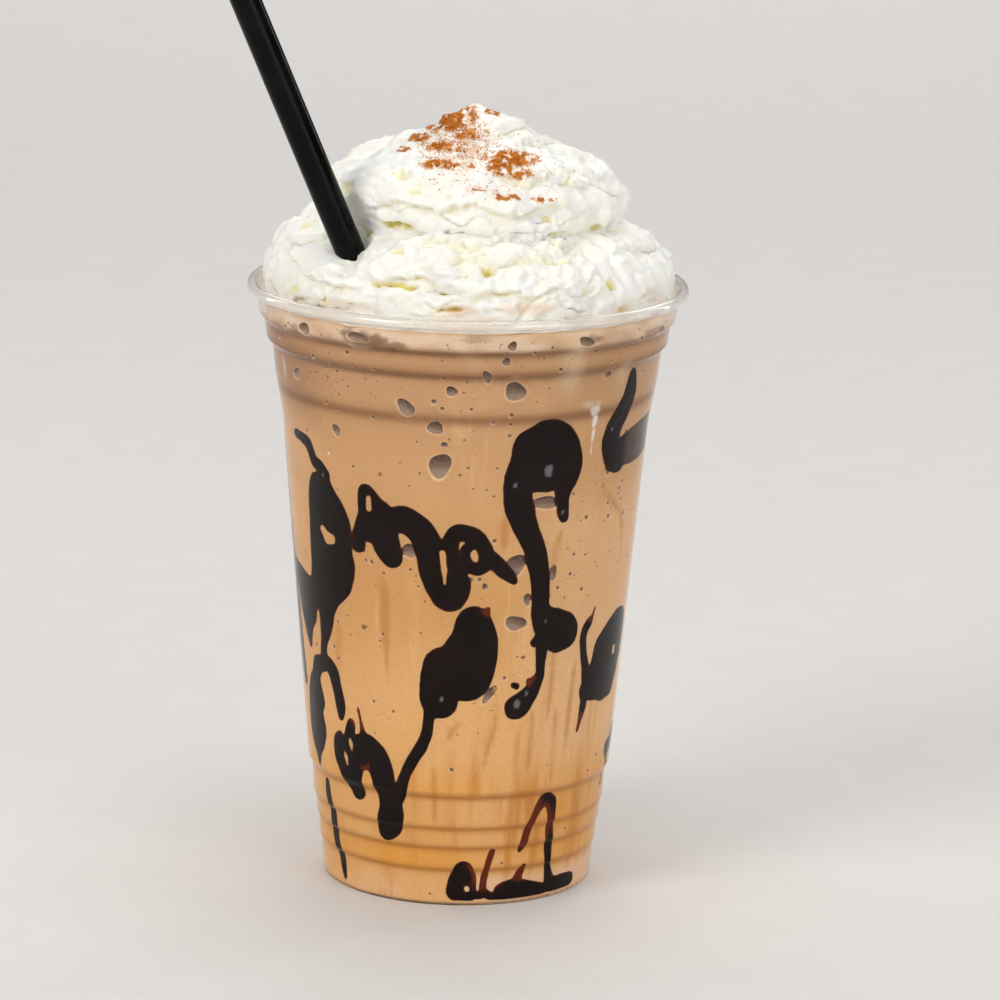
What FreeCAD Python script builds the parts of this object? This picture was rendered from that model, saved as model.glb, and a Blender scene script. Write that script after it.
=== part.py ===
# Blended iced coffee in a clear, ribbed, tapered cup, with a heap of whipped cream
# in two rounds and a knob, and a straight straw that leans out over the rim.
#
# Frame: +Z up, +X to the right of the side shown, -Y to the front of it.
# Origin: the middle of the cup, on the surface that its foot stands on. Millimetres.

import FreeCAD, Part
import math
import os
from FreeCAD import Vector

# ---- cup: thin sheet, formed in one piece ----
cup_height = 135.5
rim_radius = 49.0           # outside of the rolled lip
wall = 0.4                  # sheet thickness, measured across the cup
lip_roll_radius = 1.3       # outside radius of the roll
lip_roll_end = -60.0        # degrees below level where the rolled edge stops

foot_radius = 30.1
foot_ring_width = 2.3       # flat ring that the cup stands on
foot_fillet = 0.8
base_rise = 3.0             # the middle of the base is pushed up by this
base_rise_run = 1.6         # and reaches it over this much radius
base_fillet = 0.7

lower_draft = 0.075         # widening of the lower wall for each mm up, between ribs
lower_ribs = [              # height of the ledge, its rise, its step outwards
    (8.2, 0.6, 0.40),
    (13.5, 0.6, 0.40),
    (18.1, 0.6, 0.45),
    (25.4, 1.6, 0.85),
]
rib_fillet = 0.45

collar = [                  # depth below the rim, inset from the lip's wall, fillet
    (30.5, 6.10, 16.0),     # top of the long tapered wall
    (20.3, 4.25, 9.0),      # top of the flared shoulder
    (13.9, 3.55, 0.9),      # underside of the first ledge
    (12.6, 2.25, 0.9),
    (8.4, 1.70, 0.9),       # underside of the second ledge
    (7.2, 0.60, 0.9),
]

# ---- drink and cream ----
drink_drop = 4.0            # the drink ends this far below the rim
cream_margin = 1.4          # ring of drink left free between cream and wall
cream_height = 44.0         # of the heap, above the drink

cream_outline = [           # share of the foot radius, share of the heap's height
    (1.000, 0.000),
    (1.020, 0.110),
    (0.985, 0.230),
    (0.905, 0.335),         # crown of the lower round
    (0.800, 0.395),
    (0.725, 0.445),         # crease between the rounds
    (0.765, 0.510),
    (0.735, 0.600),
    (0.655, 0.690),         # crown of the upper round
    (0.500, 0.765),
    (0.340, 0.825),
    (0.235, 0.870),         # foot of the knob
    (0.195, 0.935),
    (0.100, 0.985),
]
cream_rings = 36            # facets from the foot to the tip
cream_sectors = 84          # facets round the heap
tip_offset = Vector(1.0, -1.0, 0)

fold_count = 8.5            # ragged folds between the foot and the tip
fold_depth = 1.25
fold_turns = 1              # folds climb as one spiral
fold_waves = [(3, 0.9, 1.0), (5, 0.5, 2.4)]     # waves round the heap, height, phase
lobe_depth = 0.9            # slow waviness round the heap
lobe_waves = [(3, 1.0, 0.6), (5, 0.7, 2.1)]
tier_tilt = 1.3             # the rounds rise on one side and sink on the other
tier_heading = 200.0        # degrees round from +X, where they stand highest
hollow_depth = 5.0          # trough that the straw has pressed into the cream
hollow_width = 7.5

# ---- straw ----
straw_diameter = 6.5
straw_wall = 0.3
straw_length = 230.0
straw_tip_height = 17.0     # middle of the lower end, above the foot
straw_tip_clearance = 0.3   # from the cup's wall
straw_tip_heading = -8.9    # degrees round from +X
straw_entry_radius = 30.0   # from the cup's axis, at the drink's level
straw_entry_heading = -130.9

# ---- worked out ----
lip_wall_radius = rim_radius - 2 * lip_roll_radius + wall
lip_centre = Vector(rim_radius - lip_roll_radius, 0, cup_height - lip_roll_radius)
drink_level = cup_height - drink_drop
straw_radius = straw_diameter / 2


def polar(radius, heading, height):
    """A point from its distance to the axis, its heading in degrees and its height."""
    angle = math.radians(heading)
    return Vector(radius * math.cos(angle), radius * math.sin(angle), height)


def rounded(corners):
    """Edges through (radius, height, fillet) corners, with a tangent arc at each fillet.

    An arc uses at most 45% of the shorter run beside its corner.
    """
    points = [Vector(radius, 0, height) for radius, height, fillet in corners]
    edges = []
    last = points[0]
    for before, corner, after, (_, _, fillet) in zip(points, points[1:], points[2:], corners[1:]):
        back = before - corner
        ahead = after - corner
        half_turn = (math.pi - back.getAngle(ahead)) / 2
        if fillet == 0 or half_turn < 1e-4:
            edges.append(Part.LineSegment(last, corner).toShape())
            last = corner
            continue
        longest = 0.45 * min(back.Length, ahead.Length)
        tangent = min(fillet * math.tan(half_turn), longest)
        radius = tangent / math.tan(half_turn)
        start = corner + back.normalize() * tangent
        end = corner + ahead.normalize() * tangent
        inward = (back + ahead).normalize()
        middle = corner + inward * (radius / math.cos(half_turn) - radius)
        edges.append(Part.LineSegment(last, start).toShape())
        edges.append(Part.Arc(start, middle, end).toShape())
        last = end
    edges.append(Part.LineSegment(last, points[-1]).toShape())
    return edges


def side_corners(offset):
    """The wall from just above the foot to the lip, moved in by offset."""
    corners = []
    radius = foot_radius
    height = 0.0
    for ledge, rise, step in lower_ribs:
        radius += lower_draft * (ledge - height)
        corners.append((radius - offset, ledge, rib_fillet))
        radius += step
        height = ledge + rise
        corners.append((radius - offset, height, rib_fillet))
    for depth, inset, fillet in collar:
        corners.append((lip_wall_radius - inset - offset, cup_height - depth, fillet))
    return corners + [(lip_wall_radius - offset, lip_centre.z, 0)]


def base_corners(offset):
    """The base from the axis to the foot: under the sheet, or above it by offset."""
    ring_inside = foot_radius - foot_ring_width + offset
    return [
        (0, base_rise + offset, 0),
        (ring_inside - base_rise_run, base_rise + offset, base_fillet),
        (ring_inside, offset, base_fillet),
        (foot_radius - offset, offset, foot_fillet),
    ]


def roll_point(radius, degrees):
    """A point on the lip's roll, seen in section."""
    angle = math.radians(degrees)
    return lip_centre + Vector(radius * math.cos(angle), 0, radius * math.sin(angle))


def roll_arc(radius):
    """The roll in section, from the wall over the top to where the edge stops."""
    middle = (180.0 + lip_roll_end) / 2
    return Part.Arc(
        roll_point(radius, 180.0), roll_point(radius, middle), roll_point(radius, lip_roll_end)
    ).toShape()


def revolved(edges):
    """A solid of revolution about the cup's axis from a closed section."""
    section = Part.Face(Part.Wire(Part.__sortEdges__(edges)))
    return section.revolve(Vector(0, 0, 0), Vector(0, 0, 1), 360)


def inside_edges():
    return rounded(base_corners(wall) + side_corners(wall))


def make_cup():
    outside = rounded(base_corners(0) + side_corners(0))
    inner_roll = lip_roll_radius - wall
    edge = Part.LineSegment(
        roll_point(inner_roll, lip_roll_end), roll_point(lip_roll_radius, lip_roll_end)
    ).toShape()
    axis = Part.LineSegment(Vector(0, 0, base_rise), Vector(0, 0, base_rise + wall))
    return revolved(
        outside + [roll_arc(inner_roll), edge, roll_arc(lip_roll_radius)]
        + inside_edges() + [axis.toShape()]
    )


def make_cavity():
    """Everything inside the cup up to the middle of the lip's roll."""
    top_centre = Vector(0, 0, lip_centre.z)
    top = Part.LineSegment(Vector(lip_wall_radius - wall, 0, lip_centre.z), top_centre)
    axis = Part.LineSegment(top_centre, Vector(0, 0, base_rise + wall))
    return revolved(inside_edges() + [top.toShape(), axis.toShape()])


def inner_radius(height):
    """The cavity's radius at a height, read off the corners of the wall."""
    corners = side_corners(wall)
    for (low_radius, low, _), (high_radius, high, _) in zip(corners, corners[1:]):
        if height <= high:
            share = (height - low) / (high - low)
            return low_radius + share * (high_radius - low_radius)
    return corners[-1][0]


def straw_line():
    """The middle of the straw's lower end, and the direction it points in."""
    entry = polar(straw_entry_radius, straw_entry_heading, drink_level)
    reach = inner_radius(straw_tip_height) - straw_tip_clearance
    slant = 1.0
    for _ in range(6):
        tip = polar(reach - straw_radius * slant, straw_tip_heading, straw_tip_height)
        slant = (entry - tip).Length / (entry.z - tip.z)
    return tip, (entry - tip).normalize()


def make_straw():
    tip, direction = straw_line()
    outside = Part.makeCylinder(straw_radius, straw_length, tip, direction)
    bore = Part.makeCylinder(straw_radius - straw_wall, straw_length, tip, direction)
    return outside.cut(bore)


def straw_space():
    """The room that the straw takes up, bore included."""
    tip, direction = straw_line()
    return Part.makeCylinder(straw_radius, straw_length, tip, direction)


def make_drink():
    below_level = Part.makeCylinder(2 * rim_radius, drink_level)
    return make_cavity().common(below_level).cut(straw_space())


def smooth(points, share):
    """A point on the smooth line through the given ones, for a share from 0 to 1."""
    place = share * (len(points) - 1)
    first = min(int(place), len(points) - 2)
    t = place - first
    before = points[max(first - 1, 0)]
    after = points[min(first + 2, len(points) - 1)]
    result = []
    for p0, p1, p2, p3 in zip(before, points[first], points[first + 1], after):
        bend = (2 * p0 - 5 * p1 + 4 * p2 - p3) * t * t + (3 * p1 - p0 - 3 * p2 + p3) * t ** 3
        result.append(0.5 * (2 * p1 + (p2 - p0) * t + bend))
    return result


def waves(angle, terms):
    return sum(height * math.sin(count * angle + phase) for count, height, phase in terms)


def fold(share, angle):
    """How far the surface stands out at this place, in folds and lobes."""
    climb = fold_turns * angle + waves(angle, fold_waves)
    ridge = 1 - 2 * abs(math.sin(math.pi * fold_count * share + climb / 2))
    strength = 0.65 + 0.35 * math.sin(4 * angle + 9 * share)
    fade = min(1.0, 5 * share, 6 * (1 - share))
    return fade * (fold_depth * strength * ridge + lobe_depth * waves(angle, lobe_waves))


def cream_point(share, angle, foot, hollow_base, hollow_line):
    """A point on the cream's surface, from the foot (share 0) to near the tip (share 1)."""
    radius, height = smooth(cream_outline, share)
    ahead = smooth(cream_outline, min(share + 0.01, 1.0))
    behind = smooth(cream_outline, max(share - 0.01, 0.0))
    along = Vector(foot * (ahead[0] - behind[0]), 0, cream_height * (ahead[1] - behind[1]))
    along.normalize()
    out = fold(share, angle)
    tilt = tier_tilt * math.cos(angle - math.radians(tier_heading))
    middle = tip_offset * (share * share)
    fade = min(1.0, 4 * share)
    r = foot * radius + out * along.z
    z = cream_height * height - out * along.x + fade * tilt * (1 - share)
    point = Vector(r * math.cos(angle), r * math.sin(angle), drink_level + z) + middle
    away = point.distanceToLine(hollow_base, hollow_line)
    press = hollow_depth * fade * math.exp(-((away / hollow_width) ** 2))
    return point - Vector(math.cos(angle), math.sin(angle), 0.3) * press


def make_cream():
    foot = inner_radius(drink_level) - cream_margin
    tip, direction = straw_line()
    points = [Vector(0, 0, drink_level)]
    for ring in range(cream_rings):
        share = ring / (cream_rings - 1)
        for sector in range(cream_sectors):
            angle = 2 * math.pi * sector / cream_sectors
            points.append(cream_point(share, angle, foot, tip, direction))
    points.append(Vector(0, 0, drink_level + cream_height) + tip_offset)
    facets = []
    for sector in range(cream_sectors):
        beside = (sector + 1) % cream_sectors
        facets.append((0, 1 + beside, 1 + sector))
        for ring in range(cream_rings - 1):
            low = 1 + ring * cream_sectors
            high = low + cream_sectors
            facets.append((low + sector, low + beside, high + beside))
            facets.append((low + sector, high + beside, high + sector))
        facets.append((high + sector, high + beside, len(points) - 1))
    skin = Part.Shape()
    skin.makeShapeFromMesh((points, facets), 0.001, False)
    heap = Part.makeSolid(Part.makeShell(skin.Faces))
    return heap.cut(straw_space())


def main():
    os.makedirs("parts", exist_ok=True)
    nodes = {
        "cup": make_cup(),
        "drink": make_drink(),
        "whipped_cream": make_cream(),
        "straw": make_straw(),
    }
    for name, shape in nodes.items():
        shape.exportStep(f"parts/{name}.step")
        box = shape.BoundBox
        print(name, len(shape.Solids), shape.isValid(), round(shape.Volume / 1000, 2), "ml",
              [round(v, 2) for v in (box.XMin, box.XMax, box.YMin, box.YMax, box.ZMin, box.ZMax)])


main()
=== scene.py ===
import math
from itertools import product

import bpy
import numpy as np
from mathutils import Matrix, Vector
from mathutils.bvhtree import BVHTree
from mathutils.geometry import delaunay_2d_cdt


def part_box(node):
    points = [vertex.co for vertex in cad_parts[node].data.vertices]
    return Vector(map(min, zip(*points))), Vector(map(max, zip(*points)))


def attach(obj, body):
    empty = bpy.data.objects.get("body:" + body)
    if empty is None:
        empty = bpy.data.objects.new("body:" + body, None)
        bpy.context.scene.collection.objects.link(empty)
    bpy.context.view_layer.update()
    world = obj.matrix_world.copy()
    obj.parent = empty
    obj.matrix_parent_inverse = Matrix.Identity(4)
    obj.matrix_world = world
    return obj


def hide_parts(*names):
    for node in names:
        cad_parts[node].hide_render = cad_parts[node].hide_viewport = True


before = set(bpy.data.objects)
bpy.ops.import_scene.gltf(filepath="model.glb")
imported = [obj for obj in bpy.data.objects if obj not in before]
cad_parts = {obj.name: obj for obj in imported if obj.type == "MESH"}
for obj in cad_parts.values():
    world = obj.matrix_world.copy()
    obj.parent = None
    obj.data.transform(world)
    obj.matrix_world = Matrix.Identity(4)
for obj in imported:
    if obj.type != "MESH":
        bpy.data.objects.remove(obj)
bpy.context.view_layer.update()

MM = 0.001

# Lengths are in millimetres, but for the camera's, lamps' and materials' own settings. A heading is
# the angle round the cup in degrees: 0 in front, + to the right.


# ---------------------------------------------------------------- shapes read from the frame

def node_points(name):
    """The vertices of a CAD node, in millimetres."""
    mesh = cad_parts[name].data
    flat = np.empty(len(mesh.vertices) * 3)
    mesh.vertices.foreach_get("co", flat)
    return flat.reshape(-1, 3) / MM


def node_box(name):
    """The lower and the upper corner of a CAD node's box, in millimetres."""
    return [np.array(corner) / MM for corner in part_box(name)]


DRINK_FOOT, LEVEL = (corner[2] for corner in node_box("drink"))
RIM = node_box("cup")[1][2]
CREAM_LOW, CREAM_HIGH = node_box("whipped_cream")
CREAM_HEIGHT = CREAM_HIGH[2] - CREAM_LOW[2]
CREAM_FOOT = 0.97 * (CREAM_HIGH[0] - CREAM_LOW[0]) / 2
REFERENCE_RADIUS = 38.0             # for measuring along the wall

DRINK_POINTS = node_points("drink")
DRINK_RADII = np.hypot(DRINK_POINTS[:, 0], DRINK_POINTS[:, 1])
FOOT_RADIUS = DRINK_RADII[DRINK_POINTS[:, 2] < DRINK_FOOT + 0.01].max()
RECESS_RADIUS = DRINK_RADII[DRINK_POINTS[:, 2] < DRINK_FOOT + 0.01].min()


def wall_profile():
    """Heights and radii of the drink's side, from the frame's drink."""
    side = {}
    for radius, height in zip(DRINK_RADII, np.round(DRINK_POINTS[:, 2], 2)):
        if radius > RECESS_RADIUS and height < LEVEL - 0.05:
            side[height] = max(side.get(height, 0.0), radius)
    heights = np.array(sorted(side))
    radii = np.array([side[height] for height in heights])
    keep = radii > np.maximum.accumulate(radii) - 0.3
    return heights[keep], radii[keep]


WALL_HEIGHTS, WALL_RADII = wall_profile()


def wall_radius(height):
    return np.interp(height, WALL_HEIGHTS, WALL_RADII)


def along_wall(degrees, height):
    """The length along the wall of an angle round it."""
    return degrees * math.pi / 180 * wall_radius(height)


def on_wall(heading, height, out=0.0):
    """Places on the inside of the cup's wall."""
    angle = np.radians(heading)
    radius = wall_radius(height) + out
    return np.stack([radius * np.sin(angle), -radius * np.cos(angle), height + 0.0 * radius], -1)


def heading_of(points):
    return np.degrees(np.arctan2(points[..., 0], -points[..., 1]))


# ---------------------------------------------------------------- noise and curves

LATTICE_PRIMES = (73856093, 19349663, 83492791)     # these make one number of a cell's three
SEED_PRIME = 2654435761
MIXING = ((15, 2246822519), (13, 3266489917))       # shifts and factors that scatter its bits
LOW_BITS = 0xFFFFFFFF


def noise(points, scale, seed):
    """Smooth noise from about -1 to 1 at points in millimetres, with lumps of the given size."""
    p = np.asarray(points) / scale + 17.3 * seed
    cell = np.floor(p).astype(np.int64)
    part = p - cell
    ease = part * part * part * (part * (part * 6 - 15) + 10)
    total = np.zeros(p.shape[:-1])
    for step in product((0, 1), repeat=3):
        mixed = np.bitwise_xor.reduce((cell + step) * LATTICE_PRIMES, axis=-1)
        mixed = (mixed ^ (seed * SEED_PRIME)) & LOW_BITS
        for shift, factor in MIXING:
            mixed = ((mixed ^ (mixed >> shift)) * factor) & LOW_BITS
        turn = (mixed & 0xFFFF) / 65536.0 * 2 * math.pi
        rise = ((mixed >> 16) & 0xFFFF) / 32768.0 - 1.0
        flat = np.sqrt(np.maximum(0.0, 1 - rise * rise))
        offset = part - step
        value = offset[..., 0] * flat * np.cos(turn) + offset[..., 1] * flat * np.sin(turn)
        value += offset[..., 2] * rise
        weight = np.ones(p.shape[:-1])
        for axis in range(3):
            weight *= ease[..., axis] if step[axis] else 1 - ease[..., axis]
        total += weight * value
    return 1.6 * total


def smoothstep(low, high, value):
    t = np.clip((value - low) / (high - low), 0, 1)
    return t * t * (3 - 2 * t)


def soft_greater(first, second, blend=0.55):
    """The greater of two fields, with a rounded change from one to the other."""
    share = np.clip(0.5 + 0.5 * (first - second) / blend, 0, 1)
    return second + (first - second) * share + blend * share * (1 - share)


def catmull(points, share):
    """Points on a smooth line through the given ones, for shares from 0 to 1."""
    points = np.asarray(points, float)
    place = np.clip(share, 0, 1) * (len(points) - 1)
    first = np.minimum(place.astype(int), len(points) - 2)
    t = (place - first)[..., None]
    p0 = points[np.maximum(first - 1, 0)]
    p1 = points[first]
    p2 = points[first + 1]
    p3 = points[np.minimum(first + 2, len(points) - 1)]
    bend = (2 * p0 - 5 * p1 + 4 * p2 - p3) * t ** 2 + (3 * p1 - p0 - 3 * p2 + p3) * t ** 3
    return 0.5 * (2 * p1 + (p2 - p0) * t + bend)


def stroke_field(heading, height, strokes):
    """How far inside the strokes each place is, in millimetres, and below 0 outside them."""
    field = np.full(np.shape(heading), -9.0)
    for stroke in strokes:
        for (a0, z0, r0), (a1, z1, r1) in zip(stroke, stroke[1:] or stroke):
            scale = along_wall(1, (z0 + z1) / 2)
            reach = max(r0, r1) + 3.0
            near = (heading > min(a0, a1) - reach / scale) & (heading < max(a0, a1) + reach / scale)
            near &= (height > min(z0, z1) - reach) & (height < max(z0, z1) + reach)
            if not near.any():
                continue
            x = (heading[near] - a0) * scale
            y = height[near] - z0
            dx, dy = (a1 - a0) * scale, z1 - z0
            length = dx * dx + dy * dy
            t = np.clip((x * dx + y * dy) / length, 0, 1) if length > 0 else np.zeros_like(x)
            inside = r0 + (r1 - r0) * t - np.hypot(x - t * dx, y - t * dy)
            field[near] = soft_greater(inside, field[near], 0.8)
    return field


# ---------------------------------------------------------------- meshes and materials

def mesh_object(name, points, faces, masks=None, smooth=True):
    """A mesh object from points in millimetres, with named masks from 0 to 1 at its points."""
    mesh = bpy.data.meshes.new(name)
    mesh.from_pydata((np.asarray(points) * MM).tolist(), [], [list(map(int, face)) for face in faces])
    mesh.validate()
    for mask, values in (masks or {}).items():
        add_mask(mesh, mask, values)
    mesh.polygons.foreach_set("use_smooth", [smooth] * len(mesh.polygons))
    thing = bpy.data.objects.new(name, mesh)
    bpy.context.scene.collection.objects.link(thing)
    return thing


def add_mask(mesh, name, values):
    layer = mesh.attributes.new(name, "FLOAT", "POINT")
    layer.data.foreach_set("value", np.asarray(values, dtype=np.float32))


def srgb(red, green, blue):
    """A colour as seen on a screen, from 0 to 255, as the linear one that shaders take."""
    linear = []
    for channel in (red, green, blue):
        c = channel / 255
        linear.append(c / 12.92 if c <= 0.04045 else ((c + 0.055) / 1.055) ** 2.4)
    return (*linear, 1.0)


class Nodes:
    """A short way to write a material's nodes."""

    def __init__(self, name):
        self.material = bpy.data.materials.new(name)
        self.material.use_nodes = True
        self.tree = self.material.node_tree
        self.tree.nodes.clear()
        self.output = self.tree.nodes.new("ShaderNodeOutputMaterial")

    def add(self, kind, inputs=None, **settings):
        node = self.tree.nodes.new("ShaderNode" + kind)
        for key, value in settings.items():
            setattr(node, key, value)
        for key, value in (inputs or {}).items():
            self.put(node.inputs[key], value)
        return node

    def put(self, socket, value):
        if isinstance(value, bpy.types.NodeSocket):
            self.tree.links.new(value, socket)
        else:
            socket.default_value = value

    def attribute(self, name):
        return self.add("Attribute", attribute_name=name).outputs["Fac"]

    def position(self):
        return self.add("TexCoord").outputs["Object"]

    def height(self):
        """Height above the foot in millimetres."""
        separate = self.add("SeparateXYZ", {"Vector": self.position()})
        return self.math("MULTIPLY", separate.outputs["Z"], 1000.0)

    def noise(self, scale, detail=3.0, rough=0.55, stretch=None, distortion=0.0):
        """Noise with about this many lumps in a metre, stretched along an axis if asked."""
        place = self.position()
        if stretch:
            place = self.add("VectorMath", {0: place, 1: stretch}, operation="MULTIPLY").outputs["Vector"]
        values = {"Vector": place, "Scale": scale, "Detail": detail, "Roughness": rough,
                  "Distortion": distortion}
        return self.add("TexNoise", values).outputs["Fac"]

    def math(self, operation, *values):
        node = self.add("Math", operation=operation)
        for index, value in enumerate(values):
            self.put(node.inputs[index], value)
        return node.outputs["Value"]

    def ramp(self, value, *stops):
        """A smooth ramp through (place, colour) stops."""
        node = self.add("ValToRGB", {"Fac": value})
        node.color_ramp.interpolation = "EASE"
        elements = node.color_ramp.elements
        while len(elements) < len(stops):
            elements.new(1.0)
        for element, (place, colour) in zip(elements, stops):
            element.position = place
            element.color = colour
        return node.outputs["Color"]

    def span(self, value, low, high, to_low=0.0, to_high=1.0):
        values = {"Value": value, "From Min": low, "From Max": high, "To Min": to_low, "To Max": to_high}
        return self.add("MapRange", values, interpolation_type="SMOOTHSTEP").outputs["Result"]

    def mix(self, factor, first, second):
        node = self.add("Mix", data_type="RGBA")
        self.put(node.inputs["Factor"], factor)
        self.put(node.inputs["A"], first)
        self.put(node.inputs["B"], second)
        return node.outputs["Result"]

    def tint(self, base, mask, strength, colour):
        """The base with a colour over it where a mask, or the named attribute, says so."""
        if isinstance(mask, str):
            mask = self.attribute(mask)
        return self.mix(self.math("MULTIPLY", mask, strength), base, colour)

    def bump(self, height, distance, strength=1.0, normal=None):
        node = self.add("Bump", {"Height": height, "Distance": distance, "Strength": strength})
        if normal is not None:
            self.put(node.inputs["Normal"], normal)
        return node.outputs["Normal"]

    def principled(self, uniform=None, **inputs):
        """A principled shader; the uniform values are set directly on its sockets."""
        shader = self.add("BsdfPrincipled", {key.replace("_", " "): value for key, value in inputs.items()})
        for name, value in (uniform or {}).items():
            shader.inputs[name].default_value = value
        return shader.outputs["BSDF"]

    def finish(self, shader):
        self.tree.links.new(shader, self.output.inputs["Surface"])
        return self.material


def give(thing, material):
    """Puts a material in all slots of an object."""
    if not thing.material_slots:
        thing.data.materials.append(material)
    for slot in thing.material_slots:
        slot.link = "OBJECT"
        slot.material = material


# ---------------------------------------------------------------- camera, lamps and floor

CAMERA_PLACE = (6.8, -1158.5, 350.1)
PITCH, YAW, ROLL = 0.2244, 0.0011, 0.0219           # how the camera is turned, in radians
LENS = 191.3
LAMPS = [                   # name, place, aim, sizes, power, colour, with lengths in metres
    ("key", (-0.8, -0.75, 0.75), (0, 0, 0.09), (0.55, 0.55), 6.7, (1.0, 0.985, 0.96)),
    ("front", (0.15, -1.2, 0.3), (0, 0, 0.12), (0.6, 0.4), 1.0, (1, 1, 1)),
    ("fill", (0.8, -0.95, 0.4), (0, 0, 0.08), (0.7, 0.8), 4.8, (0.97, 0.985, 1.0)),
    ("top", (0.1, -0.1, 1.1), (0, 0, 0.1), (0.7, 0.6), 3.0, (1, 1, 1)),
    ("backdrop", (0.1, 1.9, 1.5), (0.1, 1.4, 0), (2.4, 1.4), 24.0, (1, 1, 1)),
    ("left_strip", (-0.75, 0.45, 0.3), (0, 0, 0.08), (0.12, 0.7), 1.1, (0.9, 0.95, 1.0)),
    ("right_strip", (0.75, 0.5, 0.3), (0, 0, 0.08), (0.1, 0.7), 1.0, (0.95, 0.97, 1.0)),
]
WORLD_LOW = (0.14, 0.145, 0.15, 1)
WORLD_HIGH = (0.5, 0.51, 0.53, 1)
FLOOR_REACH = 6000.0


def make_camera():
    """From in front and a little above, with a long lens, tipped by a degree."""
    forward = Vector((math.sin(YAW) * math.cos(PITCH), math.cos(YAW) * math.cos(PITCH), -math.sin(PITCH)))
    level = Vector((math.cos(YAW), -math.sin(YAW), 0))
    above = level.cross(forward)
    right = math.cos(ROLL) * level + math.sin(ROLL) * above
    up = -math.sin(ROLL) * level + math.cos(ROLL) * above
    data = bpy.data.cameras.new("camera")
    data.sensor_width = 36.0
    data.lens = LENS
    data.clip_end = 50.0
    camera = bpy.data.objects.new("camera", data)
    bpy.context.scene.collection.objects.link(camera)
    turn = Matrix((right, up, -forward)).transposed().to_4x4()
    camera.matrix_world = Matrix.Translation(Vector(CAMERA_PLACE) * MM) @ turn
    bpy.context.scene.camera = camera


def make_lamp(name, place, aim, size, power, colour):
    data = bpy.data.lights.new(name, "AREA")
    data.shape = "RECTANGLE"
    data.size, data.size_y = size
    data.energy = power
    data.color = colour
    lamp = bpy.data.objects.new(name, data)
    lamp.location = place
    direction = Vector(aim) - Vector(place)
    lamp.rotation_euler = direction.to_track_quat("-Z", "Y").to_euler()
    bpy.context.scene.collection.objects.link(lamp)


def make_world():
    """Soft even light from all sides, a little stronger from above."""
    world = bpy.data.worlds.new("studio")
    bpy.context.scene.world = world
    world.use_nodes = True
    tree = world.node_tree
    tree.nodes.clear()
    place = tree.nodes.new("ShaderNodeTexCoord")
    parts = tree.nodes.new("ShaderNodeSeparateXYZ")
    tree.links.new(place.outputs["Generated"], parts.inputs[0])
    ramp = tree.nodes.new("ShaderNodeValToRGB")
    ramp.color_ramp.elements[0].position = 0.0
    ramp.color_ramp.elements[0].color = WORLD_LOW
    ramp.color_ramp.elements[1].position = 0.8
    ramp.color_ramp.elements[1].color = WORLD_HIGH
    tree.links.new(parts.outputs["Z"], ramp.inputs[0])
    light = tree.nodes.new("ShaderNodeBackground")
    tree.links.new(ramp.outputs[0], light.inputs["Color"])
    light.inputs["Strength"].default_value = 0.63
    output = tree.nodes.new("ShaderNodeOutputWorld")
    tree.links.new(light.outputs[0], output.inputs["Surface"])


def make_floor():
    """A wide plain floor, whose pale paint is a little uneven."""
    signs = [(-1, -1), (1, -1), (1, 1), (-1, 1)]
    corners = [(x * FLOOR_REACH, y * FLOOR_REACH, 0) for x, y in signs]
    floor = mesh_object("floor", corners, [(0, 1, 2, 3)], smooth=False)
    n = Nodes("floor_paint")
    speckle = n.noise(60.0, 4.0)
    colour = n.ramp(speckle, (0.3, srgb(222, 218, 213)), (0.7, srgb(224, 220, 215)))
    give(floor, n.finish(n.principled(Base_Color=colour, Roughness=0.75)))


# ---------------------------------------------------------------- cup and straw

def clear_plastic(n, colour, index, **inputs):
    """A clear shader with its refractive index."""
    return n.principled({"Transmission Weight": 1.0, "IOR": index}, Base_Color=colour, **inputs)


def make_cup_look():
    """Thin clear plastic; lamps reach through it, and the rolled lip is a little milky."""
    n = Nodes("clear_plastic")
    haze = n.noise(55.0, 4.0, 0.6)
    drawn = n.noise(240.0, 3.0, 0.6, stretch=(1.0, 1.0, 0.06))
    rough = n.span(haze, 0.45, 0.75, 0.03, 0.1)
    normal = n.bump(drawn, 0.00005, 0.5)
    wall = clear_plastic(n, (0.985, 0.985, 0.98, 1), 1.2, Roughness=rough, Normal=normal)
    clear = clear_plastic(n, (0.99, 0.99, 0.985, 1), 1.42, Roughness=rough)
    milky = n.principled(Base_Color=srgb(226, 218, 208), Roughness=0.2)
    patch = n.span(haze, 0.3, 0.7, 0.1, 0.22)
    edge = n.add("LayerWeight", {"Blend": 0.35}).outputs["Facing"]
    patch = n.math("ADD", patch, n.math("MULTIPLY", edge, 0.4))
    lip = n.add("MixShader", {0: patch, 1: clear, 2: milky}).outputs[0]
    up_high = n.span(n.height(), RIM - 3.2, RIM - 2.5)
    body = n.add("MixShader", {0: up_high, 1: wall, 2: lip}).outputs[0]
    through = n.add("BsdfTransparent", {"Color": (0.96, 0.96, 0.95, 1)}).outputs[0]
    shadow = n.add("LightPath").outputs["Is Shadow Ray"]
    both = n.add("MixShader", {0: shadow, 1: body, 2: through}).outputs[0]
    give(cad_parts["cup"], n.finish(both))


def make_straw_look():
    """Glossy black extruded plastic, with faint lines along it and a few dull marks."""
    n = Nodes("straw_plastic")
    marks = n.noise(90.0, 5.0, 0.6)
    lines = n.noise(900.0, 2.0, 0.5, stretch=(1.0, 1.0, 0.12))
    colour = n.ramp(marks, (0.35, srgb(5, 5, 6)), (0.75, srgb(11, 11, 12)))
    rough = n.span(marks, 0.35, 0.75, 0.14, 0.3)
    normal = n.bump(lines, 0.00004, 0.5)
    shader = n.principled({"Specular IOR Level": 0.1}, Base_Color=colour, Roughness=rough, Normal=normal)
    give(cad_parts["straw"], n.finish(shader))


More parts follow.
